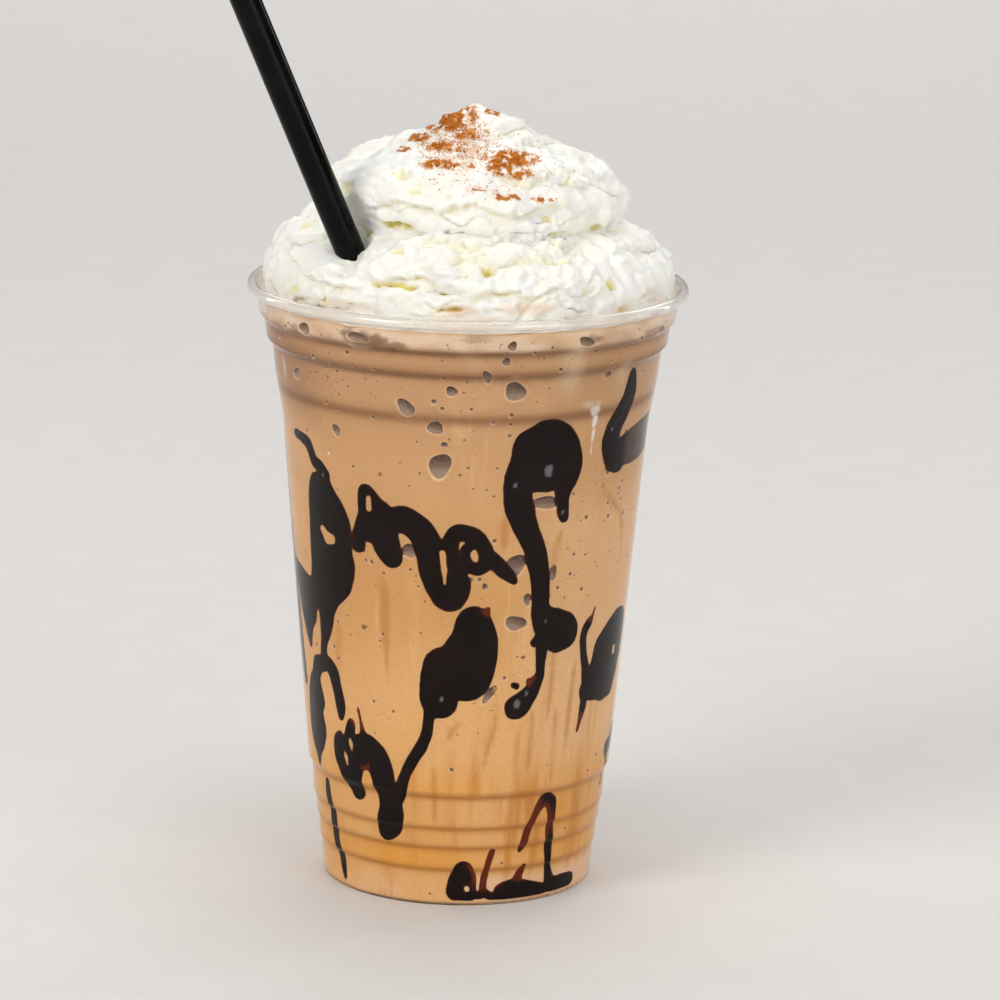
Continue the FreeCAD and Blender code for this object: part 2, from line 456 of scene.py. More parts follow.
# ---------------------------------------------------------------- drink: bubbles and skin

DRINK_REACH = 0.10          # the drink goes this far into the cup's wall, so no air shows
SKIN_STEP = 1.25            # between the skin's corners where nothing special lies
WALL_STEPS = (8.2, 13.5, 18.1, 25.4, 111.6, 121.4, 127.0)   # heights of the wall's ledges
BUBBLES = [                 # heading, height, half width, half height, tilt in degrees
    (-17.5, 114.8, 2.3, 1.6, -28), (-8.7, 110.6, 2, 1.4, -12), (-7.3, 102, 2.5, 2.8, 0),
    (-6, 106.8, 0.75, 0.7, 0), (-9, 116.5, 0.6, 0.6, 0), (-43, 107.3, 1.2, 1.4, 0),
    (-39.5, 106.5, 0.5, 0.5, 0), (-3.8, 119, 1.4, 1.1, 0), (14.8, 119, 2.6, 2, 0), (12.6, 129.6, 1.1, 1, 0),
    (11.3, 126, 1, 0.9, 0), (6.3, 122.5, 1.1, 1.5, 15), (-49.8, 129.6, 1.8, 1.4, 0),
    (34.5, 129.6, 2.2, 1, -10), (-17.5, 82.3, 1.5, 1.8, 0), (18, 79.5, 2.3, 2.5, 0),
    (19, 66.2, 2.5, 1.7, -20), (22.7, 71.5, 0.9, 1.5, 12), (31.5, 77, 1.2, 1.8, 0), (6, 76.4, 0.55, 0.5, 0),
    (7.9, 74.8, 0.75, 0.7, 35), (2.9, 76.3, 0.7, 0.65, 0), (27, 93.3, 3, 1.6, 0), (30.3, 90.6, 1.3, 1.6, 0),
    (52, 99, 1, 1.5, 0), (10.6, 50, 1, 2.4, -30), (10.5, 85.2, 0.5, 0.5, 0), (-17, 78, 0.4, 0.4, 0),
    (-14.3, 74.3, 0.3, 0.3, 0), (-12, 71, 0.3, 0.3, 0), (-11.3, 58.7, 0.35, 0.35, 0),
    (-13.7, 100, 0.3, 0.3, 0), (-1, 100, 0.35, 0.35, 0), (1.4, 101.7, 0.35, 0.3, 0),
    (10.5, 101.6, 0.3, 0.3, 0), (3, 97, 0.25, 0.25, 0), (7.3, 96.7, 0.25, 0.25, 0),
    (9.7, 95.3, 0.3, 0.3, 0), (-30.5, 129.8, 2.5, 1.1, -8), (-22.5, 129.6, 2.2, 1, 10),
    (46, 121, 1, 0.8, 0), (-60, 118, 1.6, 1.2, 15), (68, 128.5, 1.8, 1.1, 0), (-28.5, 60.8, 0.3, 0.3, 0),
]
BIG_BUBBLE = 0.7            # half size from which a bubble has many rings
BACK_BUBBLES = 26           # as large as those, on the side that isn't shown
SMALL_BUBBLES = 1500
BUBBLE_CLUSTERS = 46
MURK = [                    # darker blotches under the lip: heading, height, half sizes, strength
    (-27, 129.6, 5.5, 2, 1), (-33, 130.2, 2.5, 1.5, 0.9), (-20, 128.6, 4, 1.2, 0.8),
    (-54, 129, 2.2, 1.5, 0.5), (36, 130, 3.4, 1, 0.8), (62, 129, 5, 1, 0.5), (-66, 126, 4, 1.2, 0.4),
    (3, 131, 4, 0.8, 0.35), (-35, 63.5, 0.8, 0.7, 1), (-33.6, 63.7, 0.35, 0.25, 0.8),
    (20.2, 58.5, 0.4, 0.35, 1), (22.3, 58.2, 0.6, 0.4, 1), (-26.8, 99, 0.5, 0.5, 0.8),
    (-10.8, 2.6, 0.35, 0.3, 1),
]
WHITE_MARKS = [                   # white marks
    (40.5, 114.6, 3, 1, 0.22), (42.3, 113.2, 1.8, 1.3, 0.6), (42.9, 110.6, 0.9, 1.6, 0.8),
    (43.1, 107.6, 0.5, 2.2, 0.75), (43.2, 104.2, 0.3, 1.8, 0.6), (58.5, 101, 0.7, 1.6, 0.4),
    (-69, 118, 1.2, 3, 0.25), (-47.3, 101.5, 0.4, 0.5, 0.7),
]
TRAILS = [                  # thin amber runs down the wall: (heading, height, half width) points
    [(12.5, 54, 0.25), (13.3, 48, 0.3), (13, 42, 0.3), (11.5, 39, 0.35), (9.5, 33, 0.4), (8.8, 27, 0.3)],
    [(45, 58, 0.4), (44, 50, 0.5), (43.2, 40, 0.55), (42.5, 28, 0.5)],
    [(27, 47, 0.3), (27.4, 39, 0.5), (26.5, 30, 0.6)],
    [(50.5, 97, 0.5), (51.5, 94, 0.6), (57, 90.5, 0.5), (62.5, 87.5, 0.4), (66, 80, 0.5), (66, 68, 0.5)],
    [(34.5, 88, 0.3), (32.3, 83.5, 0.5), (31.7, 80, 0.6), (31.5, 71, 0.5)],
    [(-32, 82, 0.5), (-27, 73, 1), (-26.5, 66, 1), (-25.8, 48, 0.7)],
    [(-46.5, 64, 0.8), (-47.5, 56, 0.9), (-47.8, 46, 0.7)],
    [(13.5, 91, 0.5), (13.7, 87, 0.5), (13.5, 82, 0.5)],
    [(-17.5, 38, 0.3), (-17, 29, 0.6), (-16.5, 15, 0.4)],
    [(34, 64, 0.3), (34.2, 53, 0.45), (33.5, 40, 0.3)],
    [(37, 47, 0.3), (37.6, 37, 0.55), (37.5, 25, 0.4)],
    [(57.5, 58, 0.3), (56.5, 46, 0.5), (55, 31, 0.4)],
    [(-9, 34, 0.2), (-8.6, 26, 0.4), (-8.8, 17, 0.3)],
    [(22.5, 44, 0.2), (21.8, 34, 0.45), (22, 22, 0.3)],
    [(1.5, 44, 0.2), (-2, 41.5, 0.3), (-4, 39, 0.2)],
]


def back_bubbles(rng):
    bubbles = []
    for _ in range(BACK_BUBBLES):
        size = rng.uniform(0.7, 2.6)
        height = 130 - 70 * rng.random() ** 1.6
        shape = rng.uniform(0.6, 1.1)
        bubbles.append((rng.uniform(85, 275), height, size, size * shape, rng.uniform(-30, 30)))
    return bubbles


def small_bubbles(rng):
    """Small bubbles in clusters and alone, fewer of them low down."""
    centres = [(rng.uniform(-180, 180), 126 - 95 * rng.random() ** 1.3) for _ in range(BUBBLE_CLUSTERS)]
    bubbles = []
    for _ in range(SMALL_BUBBLES):
        size = 0.16 + 0.42 * rng.random() ** 3.2
        if rng.random() < 0.55:
            heading, height = centres[rng.integers(len(centres))]
            heading += rng.normal(0, 6.5)
            height += rng.normal(0, 3.6)
        else:
            heading = rng.uniform(-180, 180)
            height = 131 - 122 * rng.random() ** 1.9
        if height < 62 and rng.random() < 0.6:
            continue
        bubbles.append((heading, height, size, size * rng.uniform(0.8, 1.0), rng.uniform(-40, 40)))
    return bubbles


def stands_apart(bubble, others):
    heading, height, wide, tall, _ = bubble
    for other_heading, other_height, other_wide, other_tall, _ in others:
        across = (heading - other_heading) * math.pi / 180 * REFERENCE_RADIUS
        reach = 1.3 * (max(wide, tall) + max(other_wide, other_tall))
        if across ** 2 + (height - other_height) ** 2 < reach ** 2:
            return False
    return True


def all_bubbles():
    """The named bubbles, like ones round the back, and many small ones, mostly high up."""
    rng = np.random.default_rng(11)
    kept = []
    for heading, height, wide, tall, tilt in BUBBLES + back_bubbles(rng) + small_bubbles(rng):
        bubble = ((heading + 180) % 360 - 180, height, wide, tall, tilt)
        within = 3.0 < height < LEVEL - tall - 0.4 and abs(bubble[0]) <= 178 - wide / 0.6
        if within and stands_apart(bubble, kept):
            kept.append(bubble)
    return kept


def bubble_rings(bubble):
    """Places in and round one bubble: across, up, share of depth, shade and how lit its rim is."""
    heading, height, wide, tall, tilt = bubble
    size = max(wide, tall)
    big = size > BIG_BUBBLE
    if big:
        rings = [(1.2, 0.0, 24), (1.08, 0.0, 44), (1.0, 0.03, 48), (0.92, 0.4, 48), (0.8, 0.65, 30),
                 (0.6, 0.85, 18), (0.3, 0.96, 8)]
    else:
        sides = int(np.clip(10 * size ** 0.7 + 5, 7, 13))
        rings = [(1.5, 0.0, sides), (1.1, 0.02, sides), (0.8, 0.5, sides), (0.4, 0.9, sides)]
    cos, sin = math.cos(math.radians(tilt)), math.sin(math.radians(tilt))
    seed = heading * 7.1 + height
    rows = []
    for number, (ring, depth, sides) in enumerate(rings):
        for side in range(sides):
            angle = 2 * math.pi * (side + 0.5 * (number % 2)) / sides
            uneven = 0.10 * math.sin(2 * angle + seed) + 0.08 * math.sin(3 * angle + 2 * seed)
            reach = ring * (1 + uneven * big)
            x = reach * wide * math.cos(angle)
            y = reach * tall * math.sin(angle)
            # how lit the rim is, for a painted highlight that is brightest low down
            lit = (0.35 + 0.65 * max(0.0, -math.sin(angle + 0.5))) if 1.0 <= ring < 1.15 else 0.0
            rows.append((x * cos - y * sin, x * sin + y * cos, depth, math.sin(angle) * ring, lit))
    rows.append((0.0, 0.0, 1.0, 0.0, 0.0))
    return np.array(rows)


def tapered(trail):
    """A smooth line through the trail's points that thins away at both ends."""
    share = np.linspace(0, 1, 14)
    line = catmull(trail, share)
    body = smoothstep(0.0, 0.25, share) * smoothstep(1.0, 0.7, share)
    line[:, 2] = line[:, 2] * body - 0.55 * (1 - body)
    return [tuple(point) for point in line]


def fine_spots(bubbles):
    """More places for the skin's corners along the thin trails and in the marks."""
    spots = []
    for trail in TRAILS:
        line = catmull(trail, np.linspace(0, 1, 18 * len(trail)))
        for side in (-1.6, -0.8, 0.0, 0.8, 1.6):
            aside = line[:, 2] * side * REFERENCE_RADIUS / wall_radius(line[:, 1])
            spots.append(np.column_stack([np.radians(line[:, 0]) * REFERENCE_RADIUS + aside, line[:, 1]]))
    for heading, height, wide, tall, _ in WHITE_MARKS + MURK:
        x, y = np.meshgrid(np.linspace(-1.3, 1.3, 14), np.linspace(-1.3, 1.3, 16))
        x = math.radians(heading) * REFERENCE_RADIUS + x * wide + 0.04 * tall * np.sin(9 * y)
        spots.append(np.column_stack([x.ravel(), (height + y * tall).ravel()]))
    spots = np.concatenate(spots)
    free = spots[:, 1] < LEVEL - 0.3
    for rows in bubbles:
        centre = rows[-1, :2]
        reach = 1.1 * np.hypot(*(rows[0, :2] - centre))
        free &= np.hypot(*(spots - centre).T) > reach
    return np.pad(spots[free], ((0, 0), (0, 4)))


def skin_heights():
    """The heights of the skin's rows, close together at the foot and at the wall's ledges."""
    low = WALL_HEIGHTS[0]
    parts = [np.arange(low, LEVEL - 0.05, SKIN_STEP), np.arange(low, low + 3.0, 0.3)]
    parts += [np.arange(height - 1.2, height + 2.6, 0.35) for height in WALL_STEPS]
    rows = np.unique(np.concatenate([*parts, [LEVEL]]))
    rows = rows[np.concatenate([[True], np.diff(rows) > 0.12])]
    rows[-1] = LEVEL
    return rows


def make_skin():
    """The drink's skin against the wall, unrolled and on the wall, dented by the bubbles."""
    half_turn = math.pi * REFERENCE_RADIUS
    rows = skin_heights()
    across = np.linspace(-half_turn, half_turn, int(2 * half_turn / SKIN_STEP) + 1)
    grid = np.stack(np.meshgrid(across, rows), -1).reshape(-1, 2)
    keep = np.ones(len(grid), bool)
    tables = []
    for bubble in all_bubbles():
        heading, height, wide, tall, _ = bubble
        x = math.radians(heading) * REFERENCE_RADIUS
        stretch = REFERENCE_RADIUS / wall_radius(height)
        gap = grid - (x, height)
        keep &= np.hypot(gap[:, 0] / stretch, gap[:, 1]) > 1.5 * max(wide, tall) + 0.1
        size = min(wide, tall)
        deep = 0.75 * size if size < BIG_BUBBLE else 0.4 + 0.35 * size
        right, up, depth, shade, lit = bubble_rings(bubble).T
        columns = [x + right * stretch, height + up, depth * deep, shade, depth > 0.2, lit]
        tables.append(np.column_stack(columns))
    keep |= np.abs(grid[:, 0]) > half_turn - 1e-6
    keep |= (grid[:, 1] >= LEVEL - 1e-6) | (grid[:, 1] <= rows[0] + 1e-6)
    table = np.concatenate([np.pad(grid[keep], ((0, 0), (0, 4))), *tables, fine_spots(tables)])
    result = delaunay_2d_cdt([tuple(place) for place in table[:, :2]], [], [], 0, 1e-5)
    spots = np.array([tuple(place) for place in result[0]])
    origin = [sources[0] if sources else 0 for sources in result[3]]
    # the pockets' painted shade and the rims' painted highlight go on as masks
    depth, shade, pocket_shade, rim = table[origin, 2:].T
    points = on_wall(np.degrees(spots[:, 0] / REFERENCE_RADIUS), spots[:, 1], DRINK_REACH - depth)
    return spots, points, result[2], {"pocket_shade": pocket_shade, "shade": shade, "rim": rim}


def join_seam(faces, spots):
    """The faces, with the corners on the skin's right edge swapped for those on its left one."""
    edge = math.pi * REFERENCE_RADIUS
    left = {round(float(spots[i, 1]), 2): i for i in np.flatnonzero(np.abs(spots[:, 0] + edge) < 1e-3)}
    partner = np.arange(len(spots))
    for number in np.flatnonzero(np.abs(spots[:, 0] - edge) < 1e-3):
        partner[number] = left[round(float(spots[number, 1]), 2)]
    return [tuple(partner[i] for i in face) for face in faces]


def ring_at(spots, height):
    """The skin's corners at a height, in order round it, each once."""
    ring = np.flatnonzero(np.abs(spots[:, 1] - height) < 1e-3)
    return list(ring[np.argsort(spots[ring, 0])][:-1])


def close_with_rings(points, faces, before, rings, upward):
    """Adds rings of (radius, height) inwards from one of corners, and a last face over them."""
    for radius, height in rings:
        ring = []
        for number in before:
            x, y, _ = points[number]
            scale = radius / math.hypot(x, y)
            lump = 0.5 * float(noise(np.array([[x * scale, y * scale, 0.0]]), 7.0, 3)[0]) if upward else 0.0
            ring.append(len(points))
            points.append((x * scale, y * scale, height + lump))
        for i, number in enumerate(before):
            j = (i + 1) % len(before)
            face = (number, before[j], ring[j], ring[i])
            faces.append(face if upward else face[::-1])
        before = ring
    faces.append(tuple(before) if upward else tuple(before[::-1]))


def recess_height():
    """The height of the drink's underside over the cup's pushed-up base."""
    inner = DRINK_POINTS[DRINK_RADII < RECESS_RADIUS + 0.01]
    middle = inner[np.hypot(inner[:, 0], inner[:, 1]) < 5]
    return (middle if len(middle) else inner)[:, 2].max()


def closed_drink():
    """The whole drink: its skin with the bottom over the cup's base and the top."""
    spots, skin, faces, masks = make_skin()
    faces = join_seam(faces, spots)
    points = list(map(tuple, skin))
    recess = recess_height()
    below = [(FOOT_RADIUS, DRINK_FOOT), (RECESS_RADIUS, DRINK_FOOT), (RECESS_RADIUS - 1.4, recess),
             (12.0, recess), (1.0, recess)]
    below = [(radius, height - DRINK_REACH) for radius, height in below]
    above = [(45.4, 0.35), (44.0, 0.7), (42.0, 1.0), (36.0, 0.9), (24.0, 0.0), (2.0, 0.0)]
    above = [(radius, LEVEL + rise) for radius, rise in above]
    close_with_rings(points, faces, ring_at(spots, float(spots[:, 1].min())), below, False)
    close_with_rings(points, faces, ring_at(spots, LEVEL), above, True)
    more = (0, len(points) - len(skin))
    return np.array(points), faces, {name: np.pad(mask, more) for name, mask in masks.items()}


# ---------------------------------------------------------------- drink: tints and material

LEDGE_SHADE_HEIGHTS = (8.4, 13.5, 18.2, 25.7, 112.5, 122.6, 127.8)      # heights of the painted shade under the wall's ledges: darker lines round the drink


def blotches(points, heading, height, spots):
    """A mask of ragged ovals, each with its strength."""
    field = np.zeros(len(points))
    ragged = 0.35 * noise(points, 1.8, 26)
    for spot_heading, spot_height, wide, tall, strength in spots:
        across = along_wall(heading - spot_heading, spot_height) / wide
        away = np.hypot(across, (height - spot_height) / tall) + ragged
        field = np.maximum(field, strength * smoothstep(1.1, 0.6, away))
    return field


def amber_mask(points, heading, height):
    """Where syrup has run down: the lowest ledge's band on the left, and fainter above it."""
    around = noise(points * (1, 1, 0.4), 16.0, 21)
    leftish = 0.4 + 0.6 * np.exp(-((heading + 28) / 34) ** 2)
    band = smoothstep(14.0, 12.8, height) * smoothstep(7.8, 9.0, height) * leftish * (0.8 + 0.6 * around)
    patches = smoothstep(25.4, 24.2, height) * smoothstep(14.0, 16.0, height) * smoothstep(-0.1, 0.6, around)
    higher = leftish * smoothstep(36.0, 27.0, height) * smoothstep(26.0, 27.0, height)
    return band + 0.6 * patches + 0.45 * higher


def drink_masks(points):
    heading = heading_of(points)
    height = points[:, 2]
    trail = smoothstep(-0.5, 0.4, stroke_field(heading, height, [tapered(line) for line in TRAILS]))
    trail *= smoothstep(-0.9, 0.3, noise(points * (1, 1, 0.35), 4.5, 33))
    # painted shade: darker bands under the wall's ledges
    ledge_shade = sum(np.exp(-((height - place) / (0.85 if place < 30 else 1.35)) ** 2) for place in LEDGE_SHADE_HEIGHTS)
    flecks = smoothstep(0.35, 0.9, noise(points * (1, 1, 0.5), 9.0, 5)) * smoothstep(104, 122, height) * 0.5
    foam = smoothstep(127.8, 129.2, height) * (0.75 + 0.7 * noise(points * (1, 1, 1.6), 6.0, 25))
    masks = {
        "trail": trail,
        "amber": amber_mask(points, heading, height),
        "ledge_shade": ledge_shade,
        "froth": flecks + foam,
        "murk": blotches(points, heading, height, MURK),
        "white_marks": blotches(points, heading, height, WHITE_MARKS),
        "milky": smoothstep(14, 44, heading) * smoothstep(100, 84, height) * smoothstep(24, 40, height),
        # painted shade: the drink darker on its left side, high up
        "left_painted_shade": smoothstep(-36, -64, heading) * smoothstep(100, 116, height),
    }
    return {name: np.clip(mask, 0, 1) for name, mask in masks.items()}


def drink_streaks(n, body, height):
    """Long thin runs down the wall, amber and pale, more of them low down."""
    run = n.noise(210.0, 3.0, 0.6, stretch=(1.0, 1.0, 0.045), distortion=0.25)
    where = n.noise(24.0, 2.0, 0.5)
    low_down = n.span(height, 75.0, 25.0, 0.12, 1.0)
    streak = n.math("MULTIPLY", n.span(run, 0.5, 0.68), n.span(where, 0.40, 0.60))
    body = n.tint(body, n.math("MULTIPLY", streak, low_down), 0.9, srgb(190, 126, 58))
    pale_run = n.math("MULTIPLY", n.span(run, 0.42, 0.25), n.span(where, 0.55, 0.4))
    return n.tint(body, pale_run, 0.35, srgb(238, 198, 150))


def bubble_colour(n, body):
    """Painted shade in the pockets, grey-brown and speckled, darker at the top and paler low down, and a
    painted highlight on their lit rims.
    """
    grey = n.ramp(n.span(n.attribute("shade"), -1.0, 1.0),
                  (0.05, srgb(146, 124, 108)), (0.5, srgb(108, 88, 76)), (0.95, srgb(78, 60, 50)))
    speck = n.noise(2600.0, 2.0, 0.6)
    grey = n.mix(n.span(speck, 0.5, 0.62, 0.0, 0.4), grey, srgb(146, 128, 114))
    # painted shade in the bubbles' pockets
    body = n.mix(n.attribute("pocket_shade"), body, grey)
    # painted highlight on the bubbles' rims
    return n.tint(body, "rim", 0.55, srgb(238, 208, 172))


def drink_material():
    n = Nodes("blended_coffee")
    height = n.height()
    body = n.ramp(n.math("DIVIDE", height, 135.0),
                  (0.0, srgb(216, 167, 110)), (0.09, srgb(211, 157, 93)), (0.3, srgb(216, 166, 109)),
                  (0.55, srgb(198, 149, 95)), (0.75, srgb(196, 152, 107)), (0.9, srgb(187, 146, 108)))
    cloud = n.noise(38.0, 4.0, 0.55)
    body = n.mix(n.span(cloud, 0.45, 0.75, 0.0, 0.5), body, srgb(216, 172, 124))
    body = n.tint(body, "milky", 0.55, srgb(226, 184, 140))
    # painted shade: darker on the left side, high up
    body = n.tint(body, "left_painted_shade", 0.62, srgb(140, 100, 76))
    body = drink_streaks(n, body, height)
    body = n.tint(body, "trail", 0.6, srgb(176, 116, 56))
    body = n.tint(body, "amber", 0.85, srgb(216, 148, 46))
    # painted shade under the ledges: amber-brown low down, grey-brown higher up
    ledge_shade = n.mix(n.span(height, 30.0, 90.0), srgb(172, 108, 44), srgb(112, 72, 46))
    body = n.tint(body, "ledge_shade", 0.72, ledge_shade)
    body = n.tint(body, "froth", 0.8, srgb(216, 194, 170))
    body = n.tint(body, "murk", 0.85, srgb(98, 66, 46))
    wash = n.math("MULTIPLY", n.span(n.noise(48.0, 3.0, 0.6), 0.35, 0.65), n.span(height, 8.0, 5.0))
    body = n.tint(body, wash, 0.7, srgb(226, 190, 160))
    # pale white marks on the drink
    body = n.mix(n.attribute("white_marks"), body, srgb(232, 228, 224))
    body = bubble_colour(n, body)
    grain = n.noise(1500.0, 3.0, 0.6)
    body = n.mix(n.span(grain, 0.35, 0.7, 0.0, 0.16), body, srgb(176, 120, 70))
    normal = n.bump(grain, 0.00006, 0.5)
    return n.finish(n.principled({"Specular IOR Level": 0.06}, Base_Color=body, Roughness=0.5, Normal=normal))


def make_drink():
    points, faces, masks = closed_drink()
    masks.update(drink_masks(points))
    drink = mesh_object("coffee", points, faces, masks)
    give(drink, drink_material())
    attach(drink, "root")
    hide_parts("drink")


# ---------------------------------------------------------------- chocolate sauce

SAUCE_REACH = 0.22          # further into the wall than the drink, so the sauce lies in front
SAUCE_DEPTH = 0.9
SAUCE_STEP = 0.38           # between the places where the sauce is worked out
SAUCE_SHRINK = 0.66         # millimetres along the wall for each degree, roughly
SAUCE_START = -95.0         # the heading where the unrolled wall begins
SAUCE_LOW, SAUCE_TOP = 0.9, 124.0
SAUCE = [                   # strokes as (heading, height, half width) points
    # round the left side
    [(-84, 101, 1.2), (-84, 92, 1.8), (-83, 82, 2), (-82, 72, 2.4), (-80, 62, 2.4), (-78, 52, 2),
     (-76, 46, 1.5)],
    [(-67, 103.5, 1.1), (-60, 103, 1.3), (-57, 101.2, 1.3), (-55, 98.7, 1.4), (-52, 97.8, 1.5),
     (-49.5, 96.2, 1.6)],
    [(-57, 53, 1.6), (-53.5, 52.3, 1.7), (-51, 50.8, 1.7), (-50, 48.5, 1.6), (-48.5, 45.5, 1.5),
     (-48, 43, 1.3), (-48, 41, 0.8)],
    # the looped strokes, left of the middle
    [(-31.5, 94.8, 1.1), (-33.3, 94.6, 1.1), (-33.9, 92, 1.1), (-34, 89.5, 1.1), (-35, 86.8, 1.2),
     (-36, 84, 1.5), (-36, 82, 1.8)],
    [(-31.5, 94.8, 1.1), (-29.5, 93.5, 1.2), (-27.5, 91.5, 1.6), (-25.5, 90.5, 2)],
    [(-33, 86.5, 2.2), (-31.5, 87, 3.3), (-29.5, 86.7, 3.2), (-26.5, 88.5, 3.2), (-25.5, 84.5, 3.2),
     (-24.7, 82, 2.9), (-23.3, 80.3, 2.4)],
    [(-24, 88.5, 2.4), (-21, 89, 2.9), (-18.8, 89.3, 2.8), (-15.4, 88.2, 3), (-12.5, 86.2, 3.1),
     (-10.9, 83.5, 2.9), (-10, 80.8, 2.9), (-9.1, 78, 3), (-7.7, 75.2, 2.9), (-5.4, 72.7, 2.9),
     (-3.3, 72, 2.8), (-1, 73.2, 2.3), (-0.3, 75.3, 2), (-1.5, 78.2, 1.8), (-2.8, 81, 1.45),
     (-3.5, 83.8, 1.5), (-3.1, 86, 1.6), (-1.5, 87.2, 1.6), (0.6, 87.1, 1.6), (4.1, 86.3, 1.7),
     (6.4, 84.5, 1.6), (7.9, 82.2, 1.5), (7.4, 79.7, 1.4), (5.2, 78.8, 1.2), (2.4, 79.6, 1.2),
     (1, 81.6, 1.1), (1.2, 83.2, 0.9), (2.7, 84, 0.8)],
    [(7.9, 82, 1.2), (10, 81, 1.4), (12.6, 79.3, 1.5), (15.6, 77.3, 1.2), (17.8, 75.8, 0.7)],
    # the big head on the right and what drips from it
    [(22, 105.5, 5.2), (27, 107, 5.2), (31, 104, 5.4), (33, 101.5, 4.6), (33.5, 98.5, 3.4)],
    [(22, 101.5, 5.6), (27, 100.5, 5)],
    [(33.5, 97, 2.4), (33, 93.7, 1.6), (33.7, 91, 1.4), (34.5, 89.2, 1)],
    [(19, 100, 4), (17.2, 97.6, 3.1), (17.6, 93.8, 3.2), (19, 90.8, 3), (21, 87.7, 2.6), (23.7, 83.7, 2.5),
     (25.5, 79.8, 2.4), (27, 75.9, 2.1), (27.6, 72, 2.1), (28, 68.6, 2.3), (30, 65.7, 3.2)],
    [(31, 65.7, 3.4), (36, 64, 4), (38, 62.8, 3.9), (35.3, 60.8, 2.5)],
    [(29, 62, 2.6), (26.2, 61.4, 1.2)],
    [(29.2, 59.5, 1.3), (29.2, 58.7, 1.1), (29.2, 56.3, 1), (29.3, 54, 1), (27.5, 51.7, 1.4),
     (25.5, 49.6, 1.9), (22, 47.2, 2.6), (20.8, 46.5, 2.6)],
    [(27.5, 52.3, 1.1), (25, 52.6, 0.9)],
    [(20.5, 51.6, 0.9), (19.3, 51.9, 0.8)],
    # right side, high and middle
    [(58.3, 120, 1.3), (58.2, 117, 2.1), (57.6, 114.4, 2.5), (55.4, 111.3, 2.8), (52.6, 108, 2.9),
     (52.2, 104.4, 3), (54.6, 101, 2.8), (58, 99.4, 1.8)],
    [(60, 102.5, 3.6), (66, 102.8, 4.2), (72, 103.2, 4.4), (78, 103.8, 4.4), (84, 104, 4)],
    [(52.5, 67.2, 0.35), (51.3, 65.3, 0.45), (49.8, 64, 1), (48, 62.6, 1), (47.5, 60.4, 0.9),
     (48.3, 57.2, 1), (50, 54, 1.2), (51, 51, 1.6)],
    [(51, 45, 1.4), (50.2, 42.6, 0.9), (49.4, 40.4, 0.6), (48.6, 38.6, 0.3)],
    # the oval in the middle with its tail
    [(4.5, 66.6, 3.9), (4.7, 62.1, 5.2), (3, 57.5, 6.2), (2.6, 53.6, 5.3)],
    [(-4.5, 55.4, 5.6), (-7.3, 49.4, 4.1), (-6.8, 48, 3.7)],
    [(9, 69.6, 0.7), (8, 68, 0.9)],
    [(-9.8, 46, 1.6), (-10.7, 43.7, 1.1), (-11.3, 41, 1.15), (-13.2, 37.7, 1.2), (-15.7, 35.2, 1.25),
     (-18, 32.8, 1.25), (-20.5, 29.5, 1.2), (-21.7, 27, 1.3), (-24, 24.5, 1.8)],
    # lower left
    [(-42.7, 40.3, 1.2), (-44, 37.6, 1.4), (-45, 35, 1.8), (-45.8, 33, 2), (-42.5, 31, 2.4),
     (-41.5, 28.2, 2), (-41.5, 25.5, 1.9), (-41.5, 24.3, 1.8)],
    [(-49, 37, 0.8), (-51, 35, 1.2), (-50.6, 31.8, 1.3), (-49, 29.5, 1.3), (-47, 28, 1.4),
     (-44.5, 25.8, 1.5)],
    [(-40.5, 34.5, 2.6), (-38, 35.5, 2.6), (-35, 36.2, 2.3), (-31.5, 34, 2.8), (-30, 31, 3),
     (-28.7, 27.5, 2.8), (-27.3, 25, 2.6), (-26.5, 22, 2.8), (-27.3, 18.6, 3.2), (-29, 16.2, 1.9)],
    [(-41, 33, 3), (-38, 32.5, 2.6)],
    [(-39.3, 44.4, 0.25), (-38, 41, 0.5), (-37, 38, 0.7)],
    [(-62.3, 24, 0.9), (-62, 21, 1.1), (-60, 18, 1.2), (-59.6, 14.5, 1.2), (-59.8, 11, 1.2),
     (-58.2, 8.9, 1), (-56.4, 7.2, 1), (-55.8, 4.5, 0.9), (-55, 2.3, 0.5)],
    # along the foot
    [(3.2, 8.8, 1.9), (3, 6, 2.9), (0.2, 3.3, 2.3)],
    [(5, 4.9, 1.8), (5, 2.9, 2.2)],
    [(10, 2.2, 0.8), (12.7, 2.9, 0.8), (15.8, 1.7, 0.7)],
    [(15, 13, 0.55), (13.9, 11, 0.55), (12.8, 8.6, 0.5), (11.8, 6.2, 0.6), (11.6, 3.6, 0.5)],
    [(37.2, 24.2, 1.2), (34.8, 23.2, 1), (32.7, 21.3, 0.75), (30.7, 19.1, 0.75), (29.4, 16.7, 0.8),
     (28.2, 14.3, 0.7), (26.6, 12.4, 0.35)],
    [(37.2, 24.2, 1.2), (39.6, 23.1, 1.2), (40.3, 20.4, 1.1), (40.2, 17.3, 1), (40.7, 14.2, 1.1),
     (41, 11, 1), (41.6, 8, 0.8), (43, 5, 1.2), (45.5, 2.8, 1.9), (53, 2.8, 1.8), (58, 2.8, 1.4)],
    [(20.5, 2.6, 2.3), (24, 3, 2.6), (28, 2.9, 2.6), (34, 2.3, 2.2), (39, 1.8, 1.8)],
    [(29.4, 8.9, 0.4), (27.7, 7, 0.8), (26.2, 4.9, 0.9)],
]
